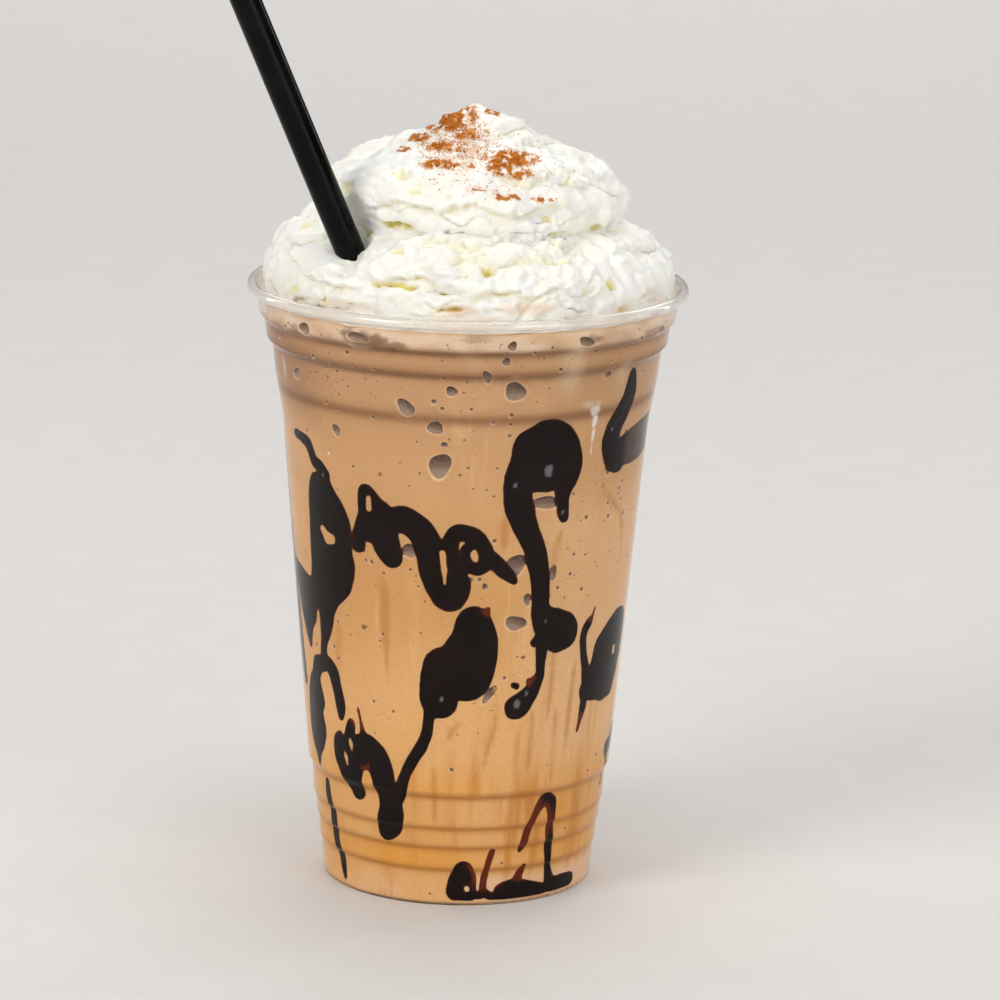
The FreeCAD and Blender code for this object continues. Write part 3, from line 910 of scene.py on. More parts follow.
SAUCE_PATCHES = [           # outlines of the wide patches as (heading, height) points
    [(-57, 96.2), (-53, 97), (-49.5, 97), (-45, 93.2), (-42, 91), (-39.6, 88.3), (-38.6, 84.6), (-38.6, 80),
     (-37.9, 77), (-38.4, 74), (-40.7, 70), (-45.3, 67.3), (-48.7, 64.4), (-50, 61), (-53.5, 56.6),
     (-55, 53.5), (-58.5, 53.5), (-58, 58), (-58, 62), (-58.6, 64.3), (-60.2, 61.5), (-63.5, 58.8),
     (-66, 54.5), (-70, 57.5), (-74, 62.5), (-77, 68), (-80, 73.8), (-70, 72.8), (-63, 71.6), (-61.5, 74),
     (-61, 80), (-60.5, 86), (-60, 91), (-58.5, 94.5)],
    [(-58, 54), (-64, 53), (-66.5, 50), (-71, 46), (-73, 41), (-73.5, 36), (-71, 32), (-68.5, 30),
     (-65.5, 27), (-63.5, 30), (-60.5, 32), (-58.3, 35), (-58.2, 37.5), (-59.5, 40), (-57.8, 42.5),
     (-58.8, 45.5), (-60, 48), (-58, 49.8), (-55.5, 50.5), (-56, 52.5)],
    [(66, 64.5), (58, 61), (54.5, 58.5), (53, 55), (51, 51.5), (47.8, 49), (48.5, 46), (50, 45.5),
     (52, 45.2), (58, 44.8), (63, 44), (68, 44.2), (72, 45), (75, 48), (78, 52), (80, 57), (80, 61),
     (77, 64), (71, 65)],
]
SAUCE_GAPS = [              # places without sauce inside those, as strokes
    [(-52.5, 83.7, 0.7), (-50, 82, 1), (-48, 82, 1)],
    [(-31.3, 93.2, 0.4), (-31.3, 90.8, 0.45)],
    [(69.8, 55.5, 0.7), (69.8, 54.7, 0.7)],
    [(-43.9, 36.3, 0.1), (-43.5, 35.3, 0.26), (-43.2, 34, 0.1)],
    [(-47.2, 33.4, 0.1), (-46.5, 32, 0.28), (-45.9, 30.3, 0.1)],
    [(-36.6, 29, 0.9), (-36.4, 27.5, 1.25), (-36, 25.5, 1.3)],
    [(4.8, 4.1, 0.55), (5.1, 3.8, 0.55)],
    [(-5.4, 75.4, 0.1), (-5.6, 78.6, 0.3), (-6.3, 82.3, 0.6)],
]
BACK_STROKES = 15           # like those, on the side that isn't shown
GLEAMS = [                  # blisters of air on the sauce, dented in, with a painted pale grey reflection: heading, height, size
    (27.5, 100.6, 1.2), (-6.3, 48.8, 0.5), (21, 47.6, 0.9), (24.4, 49.8, 0.5), (16.4, 97.6, 0.5),
    (33.6, 90.8, 0.4), (-50.5, 96.2, 0.4), (30, 66, 0.35), (51.5, 108, 0.5),
]
RED_SAUCE = [               # thin sauce that lets light through: heading, height, reach
    (31, 18.5, 6.5), (13.6, 8.5, 5.2), (28, 7.5, 2.6), (51.8, 66, 2.4), (-38.8, 42, 3), (8.6, 69, 1.2),
    (26, 52.5, 1.4), (50, 40, 3), (-37, 31.2, 1.5),
]


def closed_line(outline):
    """The corners of a smooth line round an outline's points."""
    corners = np.array([*outline, outline[0]], float)
    return catmull(corners, np.linspace(0, 1, 6 * len(outline) + 1))


def patch_field(heading, height, outlines):
    """How far inside the outlines each place is, in millimetres, and below 0 outside them."""
    field = np.full(np.shape(heading), -9.0)
    for outline in outlines:
        line = closed_line(outline)
        low, high = line.min(0) - (5, 3), line.max(0) + (5, 3)
        near = (heading > low[0]) & (heading < high[0]) & (height > low[1]) & (height < high[1])
        scale = along_wall(1, np.mean([corner[1] for corner in outline]))
        x, y = heading[near] * scale, height[near]
        away = np.full(x.shape, 9.0)
        inside = np.zeros(x.shape, bool)
        for (a0, y0), (a1, y1) in zip(line, line[1:]):
            x0, x1 = a0 * scale, a1 * scale
            dx, dy = x1 - x0, y1 - y0
            t = np.clip(((x - x0) * dx + (y - y0) * dy) / max(1e-9, dx * dx + dy * dy), 0, 1)
            away = np.minimum(away, np.hypot(x - x0 - t * dx, y - y0 - t * dy))
            if y0 != y1:
                inside ^= ((y0 > y) != (y1 > y)) & (x < x0 + (y - y0) * dx / dy)
        field[near] = np.maximum(field[near], np.where(inside, away, -away))
    return field


def back_strokes():
    """Loops, blobs and drips round the back, drawn at random in the manner of the front's."""
    rng = np.random.default_rng(29)
    strokes = []
    for number in range(BACK_STROKES):
        heading = 98 + 168 * (number + 0.5) / BACK_STROKES + rng.uniform(-4, 4)
        height = rng.uniform(52, 112) if number % 3 else rng.uniform(24, 50)
        width = rng.uniform(1.2, 2.2)
        stroke = [(heading, height, 0.6 * width)]
        turn = rng.uniform(-2.6, -0.6)
        for _ in range(rng.integers(4, 9)):
            turn += rng.uniform(-0.9, 0.9)
            heading += 2.7 * math.cos(turn) / 0.62
            height = max(4.0, height + 2.7 * math.sin(turn) - 1.1)
            stroke.append((heading, height, width * rng.uniform(0.7, 1.35)))
        strokes.append(stroke)
        if number % 2:
            fat = rng.uniform(3.0, 5.4)
            strokes.append([(heading, height, fat), (heading + rng.uniform(-3, 3), height - fat, 0.8 * fat)])
            height -= fat
        thin = rng.uniform(0.5, 1.0)
        end = max(2.5, height - rng.uniform(8, 22))
        middle = (heading + rng.uniform(-2, 2), (height + end) / 2, thin)
        low = (heading + rng.uniform(-2, 2), end, 0.8 * thin)
        strokes.append([(heading, height, 1.6 * thin), middle, low, (heading, end - 0.4, 0.5 * thin)])
    return strokes


def rounded(stroke):
    """The same stroke with more points, on a smooth line through the given ones."""
    if len(stroke) < 3:
        return stroke
    return [tuple(point) for point in catmull(stroke, np.linspace(0, 1, 3 * len(stroke) - 2))]


def sauce_field(heading, height):
    """How deep in the sauce each place of the unrolled wall is, and below 0 where there is none."""
    strokes = [rounded(stroke) for stroke in SAUCE] + back_strokes()
    field = soft_greater(stroke_field(heading, height, strokes), patch_field(heading, height, SAUCE_PATCHES))
    field = -soft_greater(-field, stroke_field(heading, height, SAUCE_GAPS), 0.3)
    near = field > -1.5
    places = on_wall(heading[near], height[near])
    field[near] += 0.16 * noise(places, 2.6, 8) + 0.22 * noise(places, 7.0, 9)
    field[:, [0, -1]] = -1
    field[0] = -1
    return field


def contour_mesh(across, up, field):
    """Faces that cover a field's positive part on a grid, with exact borders."""
    spots, faces, index = [], [], {}

    def corner(j, i):
        if (j, i) not in index:
            index[j, i] = len(spots)
            spots.append((across[i], up[j]))
        return index[j, i]

    def crossing(first, second):
        key = (first, second) if first < second else (second, first)
        if key not in index:
            (j0, i0), (j1, i1) = key
            t = field[j0, i0] / (field[j0, i0] - field[j1, i1])
            index[key] = len(spots)
            spots.append((across[i0] + t * (across[i1] - across[i0]), up[j0] + t * (up[j1] - up[j0])))
        return index[key]

    inside = field > 0
    some = inside[:-1, :-1] | inside[1:, :-1] | inside[:-1, 1:] | inside[1:, 1:]
    for j, i in zip(*(places.tolist() for places in np.nonzero(some))):
        cell = [(j, i), (j, i + 1), (j + 1, i + 1), (j + 1, i)]
        face = []
        for here, there in zip(cell, cell[1:] + cell[:1]):
            if inside[here]:
                face.append(corner(*here))
            if inside[here] != inside[there]:
                face.append(crossing(here, there))
        if len(face) > 2:
            faces.append(tuple(face))
    return np.array(spots), faces


def field_at(spots, across, up, field):
    """The field between its grid's places, at the spots."""
    column = (spots[:, 0] - across[0]) / (across[1] - across[0])
    row = (spots[:, 1] - up[0]) / (up[1] - up[0])
    i = np.clip(column.astype(int), 0, len(across) - 2)
    j = np.clip(row.astype(int), 0, len(up) - 2)
    s, t = column - i, row - j
    low = field[j, i] * (1 - s) + field[j, i + 1] * s
    high = field[j + 1, i] * (1 - s) + field[j + 1, i + 1] * s
    return low * (1 - t) + high * t


def gleam_mask(spots):
    """Ragged small ovals where the sauce holds air, which are dented in and painted with a grey reflection.
    """
    mask = np.zeros(len(spots))
    flat = np.column_stack([spots * (SAUCE_SHRINK, 1), np.zeros(len(spots))])
    ragged = noise(flat, 0.9, 4)
    for heading, height, size in GLEAMS:
        away = np.hypot(along_wall(spots[:, 0] - heading, height), (spots[:, 1] - height) * 0.75)
        mask = np.maximum(mask, smoothstep(size, 0.55 * size, away + 0.4 * size * ragged))
    return mask


def red_mask(spots, points, depth):
    """Thin sauce that looks red: along some borders, and in the named places."""
    mask = 0.6 * smoothstep(0.5, 0.1, depth) * smoothstep(0.1, 0.8, noise(points, 5.0, 31) + 0.2)
    for heading, height, reach in RED_SAUCE:
        away = np.hypot(along_wall(spots[:, 0] - heading, height), spots[:, 1] - height) / reach
        mask = np.maximum(mask, 0.95 * smoothstep(1.1, 0.8, away) * smoothstep(1.3, 0.8, depth))
    return mask


def smear_mask(spots):
    """The sauce that is smeared thin, high on the right."""
    heading, height = spots.T
    mask = smoothstep(58.5, 63, heading) * smoothstep(95, 97, height) * smoothstep(110, 108, height)
    return mask * (heading < 90)


def sauce_material():
    n = Nodes("chocolate_sauce")
    cloud = n.noise(160.0, 3.0, 0.6)
    colour = n.ramp(cloud, (0.35, srgb(12, 4, 3)), (0.7, srgb(22, 9, 7)))
    colour = n.tint(colour, "thin", 0.8, srgb(66, 28, 12))
    colour = n.mix(n.attribute("red"), colour, srgb(94, 34, 13))
    colour = n.tint(colour, "smear", 0.75, srgb(74, 56, 44))
    # painted reflection: pale grey on the air blisters
    colour = n.tint(colour, "gleam", 0.8, srgb(112, 112, 116))
    dots = n.noise(900.0, 2.0, 0.5)
    colour = n.mix(n.span(dots, 0.72, 0.78, 0.0, 0.35), colour, srgb(120, 84, 66))
    return n.finish(n.principled({"Specular IOR Level": 0.06}, Base_Color=colour, Roughness=0.35))


def border_sides(faces, count):
    """The faces between the borders of the front and those of the back, count corners later."""
    edges = {edge: True for face in faces for edge in zip(face, face[1:] + face[:1])}
    return [(b, a, a + count, b + count) for a, b in edges if (b, a) not in edges]


def make_sauce():
    """Sauce on the inside of the wall: flat against it, with soft thin borders."""
    across = np.arange(SAUCE_START, SAUCE_START + 360.0, SAUCE_STEP / SAUCE_SHRINK)
    up = np.arange(SAUCE_LOW, SAUCE_TOP, SAUCE_STEP)
    field = sauce_field(*np.meshgrid(across, up))
    spots, faces = contour_mesh(across, up, field)
    depth = np.maximum(field_at(spots, across, up, field), 0)
    gleam = gleam_mask(spots)
    out = DRINK_REACH - 0.02 + (SAUCE_REACH - DRINK_REACH) * smoothstep(0, 0.5, depth) - 0.06 * gleam
    front = on_wall(spots[:, 0], spots[:, 1], out)
    back = on_wall(spots[:, 0], spots[:, 1], -SAUCE_DEPTH)
    count = len(spots)
    behind = [tuple(i + count for i in face[::-1]) for face in faces]
    masks = {"red": red_mask(spots, front, depth), "gleam": gleam, "smear": smear_mask(spots)}
    masks = {name: np.pad(mask, (0, count)) for name, mask in masks.items()}
    masks["thin"] = np.concatenate([smoothstep(0.4, 0.0, depth), np.ones(count)])
    faces = faces + behind + border_sides(faces, count)
    sauce = mesh_object("chocolate_sauce", np.concatenate([front, back]), faces, masks)
    give(sauce, sauce_material())
    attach(sauce, "root")


# ---------------------------------------------------------------- whipped cream

CREAM_OUTLINE = [           # share of the foot's radius, share of the heap's height, as in the solid
    (1, 0), (1.02, 0.11), (0.985, 0.23), (0.905, 0.335), (0.8, 0.395), (0.725, 0.445), (0.765, 0.51),
    (0.735, 0.6), (0.655, 0.69), (0.5, 0.765), (0.34, 0.825), (0.235, 0.87), (0.185, 0.915), (0.09, 0.955),
    (0.015, 0.99),
]
CREAM_UNDER = LEVEL - 0.3   # the heap goes a little way into the drink
CREAM_RINGS = 215
CREAM_FRONT, CREAM_BACK = 350, 112      # sectors, closer together at the front
TIP = np.array([1.0, -1.0, 0.0])
TIER_TILT, TIER_HEADING = 1.3, math.radians(200)
BIG_FOLDS, SMALL_FOLDS = (10.5, 1), (4.6, 50)       # how tall they are, and the seed
TROUGH_DEPTH, TROUGH_WIDTH = 4.2, 5.2               # where the straw has pressed in
DABS = [                    # heading, height, reach, how far out: single dollops and dents
    (72, 169.8, 3, 2), (76, 166.2, 2, -1), (-90, 165, 8, -3), (88, 154.5, 4, 1.2), (60, 155, 5, 1.2),
    (92, 150.5, 3, -2.6), (40, 161, 6, 0.8), (70, 163, 7, -1), (-25, 161, 5, 1.2), (8, 157, 5, 0.9),
    (-44, 157, 4, 1.3), (-8, 146, 4, 1.4), (14, 148, 4.5, 1.3), (30, 145.5, 4, 1), (0, 137.5, 4, 1.4),
    (-20, 140, 3.4, 1.2), (24, 138, 3.4, 1.1), (-64, 141, 4.5, 1), (-40, 145.5, 4.5, -3.2),
    (-33, 145.5, 2.6, 1.4), (-36, 136.5, 3, 0.8), (62, 143, 5, 0.9), (-80, 152, 5, 1.1),
    (9, 142.2, 2, -1.4),
]
SLITS = [                   # heading, height, half length, half width, depth: torn open places
    (-20.8, 141.7, 5, 0.7, 2.4), (5.8, 145.2, 1.5, 1.1, 2.2), (-24.1, 147.8, 2.4, 0.6, 1.8),
    (-72, 148.9, 2.2, 1, 1.2), (-44.4, 151, 2.2, 0.8, 1.6), (44.7, 140.9, 1.3, 1.4, 1.8),
    (56, 151.5, 1.8, 1, 1.6), (30.3, 154.8, 2.2, 0.8, 0.9), (18.6, 152.6, 3.4, 0.5, 2.2),
    (-30.8, 162.5, 2.2, 0.7, 0.9), (-3.3, 137.2, 3.2, 0.5, 2.2), (-54.5, 138.1, 1.4, 0.6, 1.5),
    (48, 135.4, 1.8, 0.7, 1.6), (19.8, 170.2, 0.9, 0.5, 0.8), (-20.4, 160.3, 1.6, 0.5, 0.9),
    (-55.7, 158.6, 2, 1.4, 1), (-7, 141, 0.8, 0.6, 1.2), (30.5, 146.3, 2.4, 0.4, 1.4),
    (0.2, 152.8, 2.2, 0.4, 1.4), (-30, 152.4, 7, 0.6, 2), (34, 152.2, 3.4, 0.35, 1.6),
    (-42.1, 137.4, 1.2, 0.5, 1.2), (64, 144.5, 1.2, 1.4, 1.2),
]
STAINS = [                  # where coffee has melted into the cream: heading, height, half sizes, strength
    (-3.3, 137, 6, 1.7, 0.75), (17, 137.4, 8.5, 1.5, 0.6), (9, 140.4, 4, 0.7, 0.45),
    (-36, 136.6, 8, 1.4, 0.5), (60, 137, 5, 2, 0.6), (-86, 159, 9, 1.6, 0.4),
]
FOLDS = [                   # size and line as (heading, height): the lower edge of a fold that hangs over
    (1.7, [(-74, 147.5), (-62, 144), (-52, 141.5), (-42, 140.3), (-30, 140.8)]),
    (1.7, [(-32, 142.4), (-24, 142.9), (-14, 143.9), (-6, 142.2), (1, 141)]),
    (1.5, [(-22, 149), (-12, 150.4), (-2, 149), (8, 149.8), (20, 150.4), (34, 148.8), (46, 149.6)]),
    (1.4, [(-9, 146.3), (2, 147.6), (10, 146.2), (20, 147.5), (31, 147.2)]),
    (1.6, [(-3, 140.3), (8, 141.6), (16, 140.1), (26, 141.4), (37, 140)]),
    (1.2, [(-61, 136.8), (-50, 137.3), (-40, 135.6), (-29, 137)]),
    (1.6, [(-52, 158), (-38, 156.4), (-26, 158.5), (-12, 156.8), (0, 158.2), (14, 156.2), (26, 157.9),
     (41, 156.6)]),
    (1.7, [(8, 164), (24, 161.8), (38, 163), (52, 160.4), (66, 162), (80, 160.5)]),
    (1.2, [(-36, 164), (-24, 162.4), (-13, 163.4)]),
    (1.3, [(50, 146), (60, 147.5), (70, 146), (82, 147)]),
    (1.3, [(-84, 157), (-74, 155.5), (-64, 157)]),
]


def straw_line():
    """The middle of the straw's axis and its direction, from the frame."""
    points = node_points("straw")
    middle = points.mean(0)
    _, _, axes = np.linalg.svd(points - middle, full_matrices=False)
    return middle, axes[0] * np.sign(axes[0][2])


STRAW_POINT, STRAW_DIRECTION = straw_line()


def from_straw(points):
    """Distance to the straw's axis."""
    away = points - STRAW_POINT
    return np.linalg.norm(away - (away @ STRAW_DIRECTION)[..., None] * STRAW_DIRECTION, axis=-1)


def plain_heap():
    """The heap without its folds: shares upwards, places, ways outwards, lengths along the skin."""
    front = np.radians(np.linspace(160, 380, CREAM_FRONT, endpoint=False))
    back = np.radians(np.linspace(20, 160, CREAM_BACK, endpoint=False))
    share, angle = np.meshgrid(np.linspace(0, 1, CREAM_RINGS), np.concatenate([front, back]), indexing="ij")
    direction = np.stack([np.cos(angle), np.sin(angle), np.zeros_like(angle)], -1)
    base = catmull(CREAM_OUTLINE, share)
    along = catmull(CREAM_OUTLINE, share + 0.012) - catmull(CREAM_OUTLINE, share - 0.012)
    along = along * (CREAM_FOOT, CREAM_HEIGHT)
    along /= np.linalg.norm(along, axis=-1, keepdims=True)
    tilt = TIER_TILT * np.cos(angle - TIER_HEADING) * np.minimum(1, 4 * share) * (1 - share)
    place = direction * (CREAM_FOOT * base[..., 0])[..., None]
    place[..., 2] = CREAM_HEIGHT * base[..., 1] + tilt
    place += TIP * (share ** 2)[..., None]
    outward = direction * along[..., 1][..., None]
    outward[..., 2] = -along[..., 0]
    steps = np.linalg.norm(np.diff(place, axis=0), axis=-1)
    path = np.pad(np.cumsum(steps, 0), ((1, 0), (0, 0)))
    return share, angle, direction, place, outward, path


def layer_of_folds(place, path, angle, period, seed):
    """Overlapping folds: each stands out at its ragged lower edge and sinks towards the next."""
    warp = 1.1 * noise(place * (1, 1, 0.7), 2.0 * period, seed) + 0.45 * noise(place, 0.85 * period, seed + 1)
    warp = warp + 0.10 * noise(place, 2.1, seed + 2) + angle / (2 * math.pi)
    phase = path / period + warp
    turn = phase - np.floor(phase)
    strength = smoothstep(-0.35, 0.45, noise(place, 1.45 * period, seed + 3))
    shelf = smoothstep(0.0, 0.09, turn) * (1 - turn) ** 0.75 - 0.45
    droop = smoothstep(0.30, 0.07, turn) * smoothstep(0.0, 0.05, turn)
    crease = smoothstep(0.90, 1.0, turn) + smoothstep(0.06, 0.0, turn)
    return strength * shelf, strength * droop, strength * crease


def drawn_folds(place, heading):
    """The named folds: how far they stand out, where they hang over, and their creases."""
    above = place[..., 2] + LEVEL + 0.8 * noise(place, 3.2, 63) + 0.45 * noise(place, 1.3, 64)
    out, lip, crease = np.zeros((3, *above.shape))
    for size, line in FOLDS:
        headings, heights = np.array(line, float).T
        rise = above - np.interp(heading, headings, heights)
        ends = smoothstep(headings[0] - 1, headings[0] + 7, heading)
        ends = ends * smoothstep(headings[-1] + 1, headings[-1] - 7, heading)
        body = smoothstep(-0.25, 0.45, rise) * np.exp(-np.maximum(rise, 0) / 3.4)
        under = smoothstep(-4.5, -0.4, rise) * smoothstep(0.3, -0.3, rise)
        out = out + size * ends * (body - 0.6 * under)
        lip = np.maximum(lip, ends * body)
        crease = np.maximum(crease, 0.9 * np.exp(-((rise + 0.4) / 0.7) ** 2) * ends)
    return out, lip, crease


def dabs_and_slits(place, heading):
    """How far dollops stand out and slits go in, and where the cream is torn open, which is painted with a
    yellow shade.
    """
    reach_round = np.hypot(place[..., 0], place[..., 1]) * math.pi / 180
    height = place[..., 2] + LEVEL
    out, torn = np.zeros((2, *height.shape))
    for dab_heading, dab_height, reach, size in DABS:
        away = np.hypot((heading - dab_heading) * reach_round, height - dab_height) / reach
        out = out + size * np.exp(-away ** 2 * 1.4)
    bent = height + 0.5 * noise(place, 4.0, 61)
    ragged = 0.6 * noise(place, 1.5, 62)
    for slit_heading, slit_height, half, narrow, depth in SLITS:
        away = np.hypot((heading - slit_heading) * reach_round / half, (bent - slit_height) / narrow)
        hole = smoothstep(1.15, 0.45, away + ragged)
        out = out - depth * hole
        torn = np.maximum(torn, hole * min(1.0, depth / 2.0))
    return out, torn


def cream_surface():
    """The heap's skin: two rounds and a knob, overlapping folds, lumps, ruffles and tears."""
    share, angle, direction, place, outward, path = plain_heap()
    heading = heading_of(place)
    heading = np.where(heading > 170, heading - 360, heading)
    big, big_droop, big_crease = layer_of_folds(place, path, angle, *BIG_FOLDS)
    small, small_droop, small_crease = layer_of_folds(place, path, angle, *SMALL_FOLDS)
    fold, lip, fold_crease = drawn_folds(place, heading)
    dab, torn = dabs_and_slits(place, heading)

    # lumps, finer where the cream was squeezed out roughly
    pillow = 1 - np.abs(noise(place, 8.5, 6)) * 2.2
    nubs = 1 - np.abs(noise(place * (1, 1, 1.5), 3.4, 7)) * 2.2
    curdle = noise(place * (1, 1, 1.4), 1.9, 12)
    busy = np.exp(-((heading - 8) / 42) ** 2) * smoothstep(27, 20, place[..., 2])
    rough = smoothstep(-0.2, 0.5, noise(place, 13.0, 60) + 0.9 * busy - 0.35)
    drawn = np.exp(-((heading + 2) / 62) ** 4)         # where the named folds take over
    ruffled = np.exp(-((heading - 48) / 20) ** 2) * np.exp(-((share - 0.20) / 0.13) ** 2)
    ruffles = np.abs(np.sin(angle * 23 + 2.0 * noise(place, 9.0, 14))) - 0.5

    out = 2.7 * big * (1 - 0.6 * drawn) + 1.5 * small * (0.25 + 0.75 * rough) * (1 - 0.3 * drawn)
    out = out - 0.55 + 0.9 * pillow + (0.2 + 0.65 * rough) * nubs + (0.12 + 0.36 * rough) * curdle
    out = out + 1.3 * ruffled * ruffles + fold + dab
    fade = smoothstep(0.0, 0.06, share) * smoothstep(1.0, 0.88, share)
    place = place + outward * (out * fade)[..., None]
    droop = 1.5 * big_droop * (1 - 0.6 * drawn) + 0.7 * small_droop * rough + 0.9 * lip
    place[..., 2] -= droop * fade

    # the straw's trough
    away = from_straw(place + (0, 0, LEVEL))
    press = TROUGH_DEPTH * np.exp(-((away / TROUGH_WIDTH) ** 2)) * np.minimum(1, 4 * share)
    place = place - (direction + (0, 0, 0.3)) * press[..., None]
    place[..., 2] += LEVEL
    crease = 0.9 * big_crease + 0.7 * np.maximum(small_crease, fold_crease) * rough
    return place, out * fade, np.clip(crease, 0, 1), torn


def heap_faces(rings, sectors):
    """Faces between the rings, and fans to the tip and to the middle of the underside."""
    tip = rings * sectors
    faces = []
    for low in range(0, tip - sectors, sectors):
        for sector in range(sectors):
            beside = (sector + 1) % sectors
            faces.append((low + sector, low + beside, low + sectors + beside, low + sectors + sector))
    for sector in range(sectors):
        beside = (sector + 1) % sectors
        faces.append((tip - sectors + sector, tip - sectors + beside, tip))
        faces.append((beside, sector, tip + 1))
    return faces


def cream_masks(place, out, crease, torn):
    """Masks for painted yellowish shade in the hollows and creases, painted yellow shade in the torn slits,
    and places where coffee has melted in.
    """
    blurred = out.copy()
    for _ in range(14):
        blurred = (np.roll(blurred, 1, 1) + np.roll(blurred, -1, 1) + 2 * blurred) / 4
        blurred[1:-1] = (blurred[:-2] + blurred[2:] + 2 * blurred[1:-1]) / 4
    hollow_shade = np.clip(smoothstep(0.2, 1.4, blurred - out) * 0.8 + 0.6 * crease, 0, 1)
    hollow_shade *= smoothstep(-0.7, 0.3, noise(place, 9.0, 70))
    low_down = smoothstep(8.0, 1.0, place[..., 2] - LEVEL + 2.4 * noise(place, 6.0, 17))
    stain = 0.7 * low_down * smoothstep(-0.35, 0.4, noise(place, 8.0, 18))
    ragged = 0.5 * noise(place, 3.0, 19)
    for heading, height, wide, tall, strength in STAINS:
        turn = np.radians(heading_of(place) - heading) * np.hypot(place[..., 0], place[..., 1]) / wide
        away = np.hypot(turn, (place[..., 2] - height) / tall) + ragged
        stain = np.maximum(stain, strength * smoothstep(1.2, 0.3, away))
    masks = {"hollow_shade": hollow_shade, "torn": torn, "stain": stain}
    return {name: np.append(mask.ravel(), [0, 0]) for name, mask in masks.items()}


def cream_material():
    n = Nodes("whipped_cream")
    tone = n.noise(90.0, 3.0, 0.5)
    colour = n.ramp(tone, (0.35, srgb(253, 250, 242)), (0.7, srgb(250, 246, 233)))
    # painted shade: yellowish in the hollows and creases
    colour = n.tint(colour, "hollow_shade", 0.8, srgb(244, 236, 182))
    # painted shade: yellow in the deep torn slits
    colour = n.tint(colour, "torn", 0.85, srgb(244, 228, 116))
    colour = n.tint(colour, "stain", 0.68, srgb(216, 172, 130))
    colour = n.tint(colour, "dust", 0.85, srgb(220, 150, 66))
    grain = n.noise(1300.0, 3.0, 0.6)
    soft = n.noise(420.0, 4.0, 0.6)
    normal = n.bump(soft, 0.0006, 0.5, n.bump(grain, 0.0001, 0.4))
    inside = {"Subsurface Weight": 0.35, "Subsurface Radius": (1.0, 0.85, 0.5), "Subsurface Scale": 0.0015}
    return n.finish(n.principled(inside, Base_Color=colour, Roughness=0.4, Normal=normal))


def make_cream():
    place, out, crease, torn = cream_surface()
    place[0, :, 2] = CREAM_UNDER
    np.clip(place[..., 2], CREAM_UNDER, CREAM_HIGH[2] - 0.05, out=place[..., 2])
    flat = np.hypot(place[..., 0], place[..., 1])
    place[..., :2] *= np.minimum(1.0, (CREAM_FOOT + 1.2) / np.maximum(flat, 1e-6))[..., None]
    tip = [place[-1, :, 0].mean(), place[-1, :, 1].mean(), place[-1, :, 2].max() + 0.1]
    points = np.concatenate([place.reshape(-1, 3), [tip, (0.0, 0.0, CREAM_UNDER)]])
    cream = mesh_object("cream", points, heap_faces(*out.shape), cream_masks(place, out, crease, torn))
    give(cream, cream_material())
    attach(cream, "root")
    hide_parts("whipped_cream")
    return cream


# ---------------------------------------------------------------- brown powder on the cream

POWDER = [                  # across and up in the picture's plane: middle, half sizes, how thick
    (-3.6, 171.8, 4.2, 2.6, 1), (-6.5, 169.6, 3.2, 1.4, 0.9), (4.5, 173.2, 1.5, 0.9, 1),
    (-11.4, 166.8, 1.9, 1.2, 0.9), (-15, 163.6, 1.8, 0.7, 0.7), (-1.2, 166.8, 2.1, 1.1, 0.9),
    (-6.6, 164.2, 3.4, 1.5, 0.7), (-6.6, 159.7, 3.8, 0.9, 0.9), (-0.6, 159.6, 1.8, 0.5, 0.6),
    (8.8, 161.6, 5.2, 1.7, 1), (6.7, 159.4, 2.6, 1.6, 1), (10, 158, 3.2, 1.1, 0.9),
    (8.2, 152.4, 3.6, 0.7, 0.7), (15.4, 152.2, 2.4, 0.4, 0.7), (0.6, 153.8, 4.2, 0.25, 0.5),
    (-3, 165, 8, 5.5, 0.07), (4, 160, 16, 7, 0.012),
]
GRAINS = 19000
SIGHT = Vector((0.0, 0.975, -0.2225))   # the way the powder's places are seen from
FULL_DUST = 22.0                        # grains in a cubic millimetre that tint the cream fully


def mesh_points(mesh):
    flat = np.empty(len(mesh.vertices) * 3)
    mesh.vertices.foreach_get("co", flat)
    return flat.reshape(-1, 3) / MM


def lumpy(x, z):
    place = np.array([[x, z, 0.0]])
    return noise(place, 1.7, 40)[0] + 0.6 * noise(place, 0.7, 41)[0]


def fallen_grains(mesh, rng):
    """Where grains lie on the cream's front, in clumps and alone, with the skin's normals."""
    corners = [tuple(place) for place in mesh_points(mesh)]
    tree = BVHTree.FromPolygons(corners, [tuple(face.vertices) for face in mesh.polygons])
    weights = np.array([wide * tall * thick for _, _, wide, tall, thick in POWDER])
    places, normals = [], []
    for number in rng.choice(len(POWDER), GRAINS, p=weights / weights.sum()):
        x, z, wide, tall, thick = POWDER[number]
        angle = rng.uniform(0, 2 * math.pi)
        reach = math.sqrt(rng.random()) * (1 + 0.22 * rng.normal())
        x += wide * reach * math.cos(angle)
        z += tall * reach * math.sin(angle)
        if thick > 0.2 and lumpy(x, z) < 0.45 - 0.55 * thick:
            continue
        hit, normal, _, _ = tree.ray_cast(Vector((x, 0.0, z)) - SIGHT * 90, SIGHT)
        if hit is None or hit.z < LEVEL + 8:
            continue
        places.append(hit)
        normals.append(normal)
    return places, normals


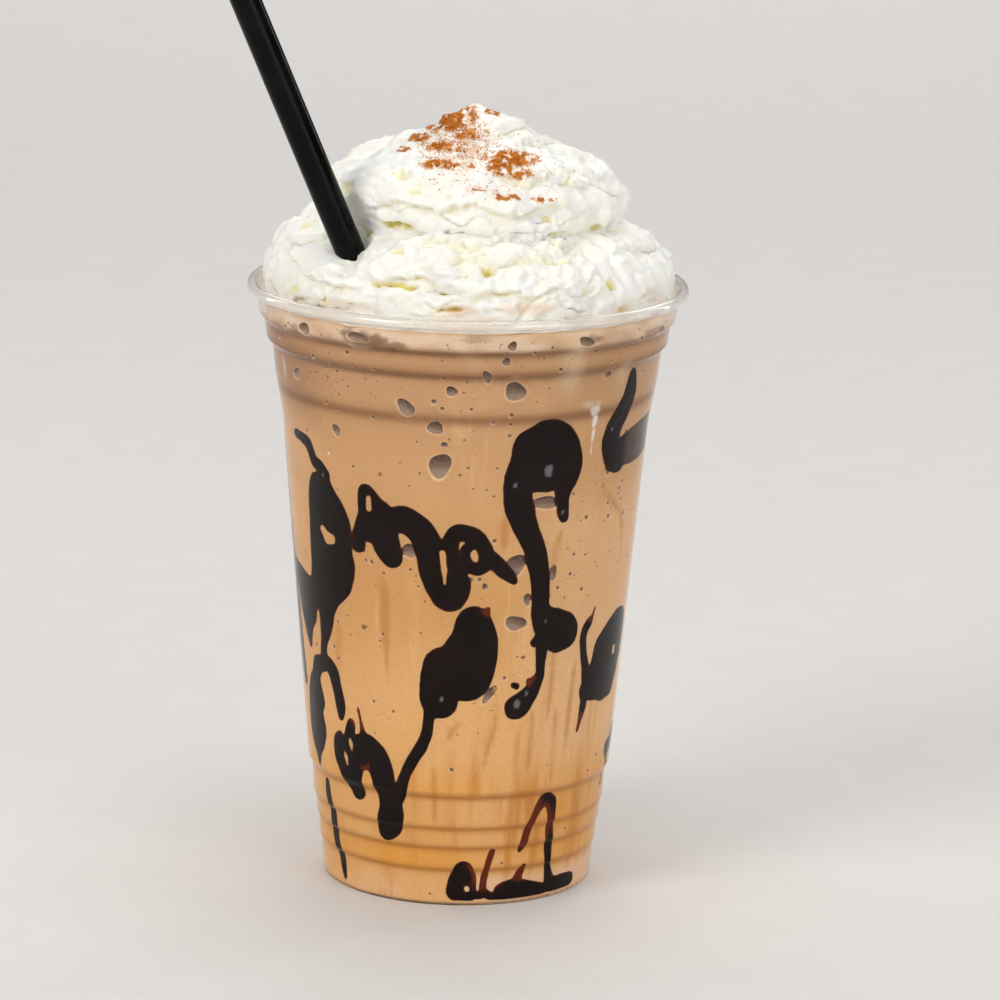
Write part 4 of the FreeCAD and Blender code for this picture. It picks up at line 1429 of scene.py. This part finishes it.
def grain_mesh(places, normals, rng):
    """An eight-sided grain at each place, turned and stretched at random."""
    points, faces = [], []
    sizes = 0.07 + 0.13 * rng.random(len(places)) ** 2
    shape = [(1, 0, 0), (0, 1, 0), (-1, 0, 0), (0, -1, 0), (0, 0, 0.8), (0, 0, -0.6)]
    sides = [(0, 1, 4), (1, 2, 4), (2, 3, 4), (3, 0, 4), (1, 0, 5), (2, 1, 5), (3, 2, 5), (0, 3, 5)]
    for hit, normal, size in zip(places, normals, sizes):
        stand = normal.to_track_quat("Z", "Y").to_matrix()
        spin = Matrix.Rotation(rng.uniform(0, 2 * math.pi), 3, "Z")
        stretch = rng.uniform(0.7, 1.5, 3)
        start = len(points)
        for corner in shape:
            local = Vector([c * s * size for c, s in zip(corner, stretch)])
            points.append(tuple(hit + stand @ (spin @ local) + normal * 0.03))
        faces.extend(tuple(start + i for i in side) for side in sides)
    return np.array(points), faces


def dust_mask(mesh, places):
    """How much powder lies round each of the cream's corners, counted in millimetre cells."""
    cells = {}
    for place in places:
        key = tuple(int(value) for value in place)
        cells[key] = cells.get(key, 0) + 1
    keys = mesh_points(mesh).astype(int).tolist()
    return [min(1.0, cells.get(tuple(key), 0) / FULL_DUST) for key in keys]


def powder_material():
    n = Nodes("brown_powder")
    tone = n.noise(700.0, 2.0, 0.6)
    colour = n.ramp(tone, (0.3, srgb(164, 92, 12)), (0.55, srgb(204, 122, 22)), (0.75, srgb(232, 160, 52)))
    return n.finish(n.principled(Base_Color=colour, Roughness=0.85))


def make_powder(cream):
    """Fine grains that have fallen on the front of the cream, which they tint."""
    rng = np.random.default_rng(5)
    places, normals = fallen_grains(cream.data, rng)
    add_mask(cream.data, "dust", dust_mask(cream.data, places))
    points, faces = grain_mesh(places, normals, rng)
    powder = mesh_object("brown_powder", points, faces, smooth=False)
    give(powder, powder_material())
    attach(powder, "root")


# ---------------------------------------------------------------- everything

bpy.context.scene.view_settings.view_transform = "Standard"
make_camera()
for lamp in LAMPS:
    make_lamp(*lamp)
make_world()
make_floor()
make_cup_look()
make_straw_look()
make_drink()
make_sauce()
make_powder(make_cream())
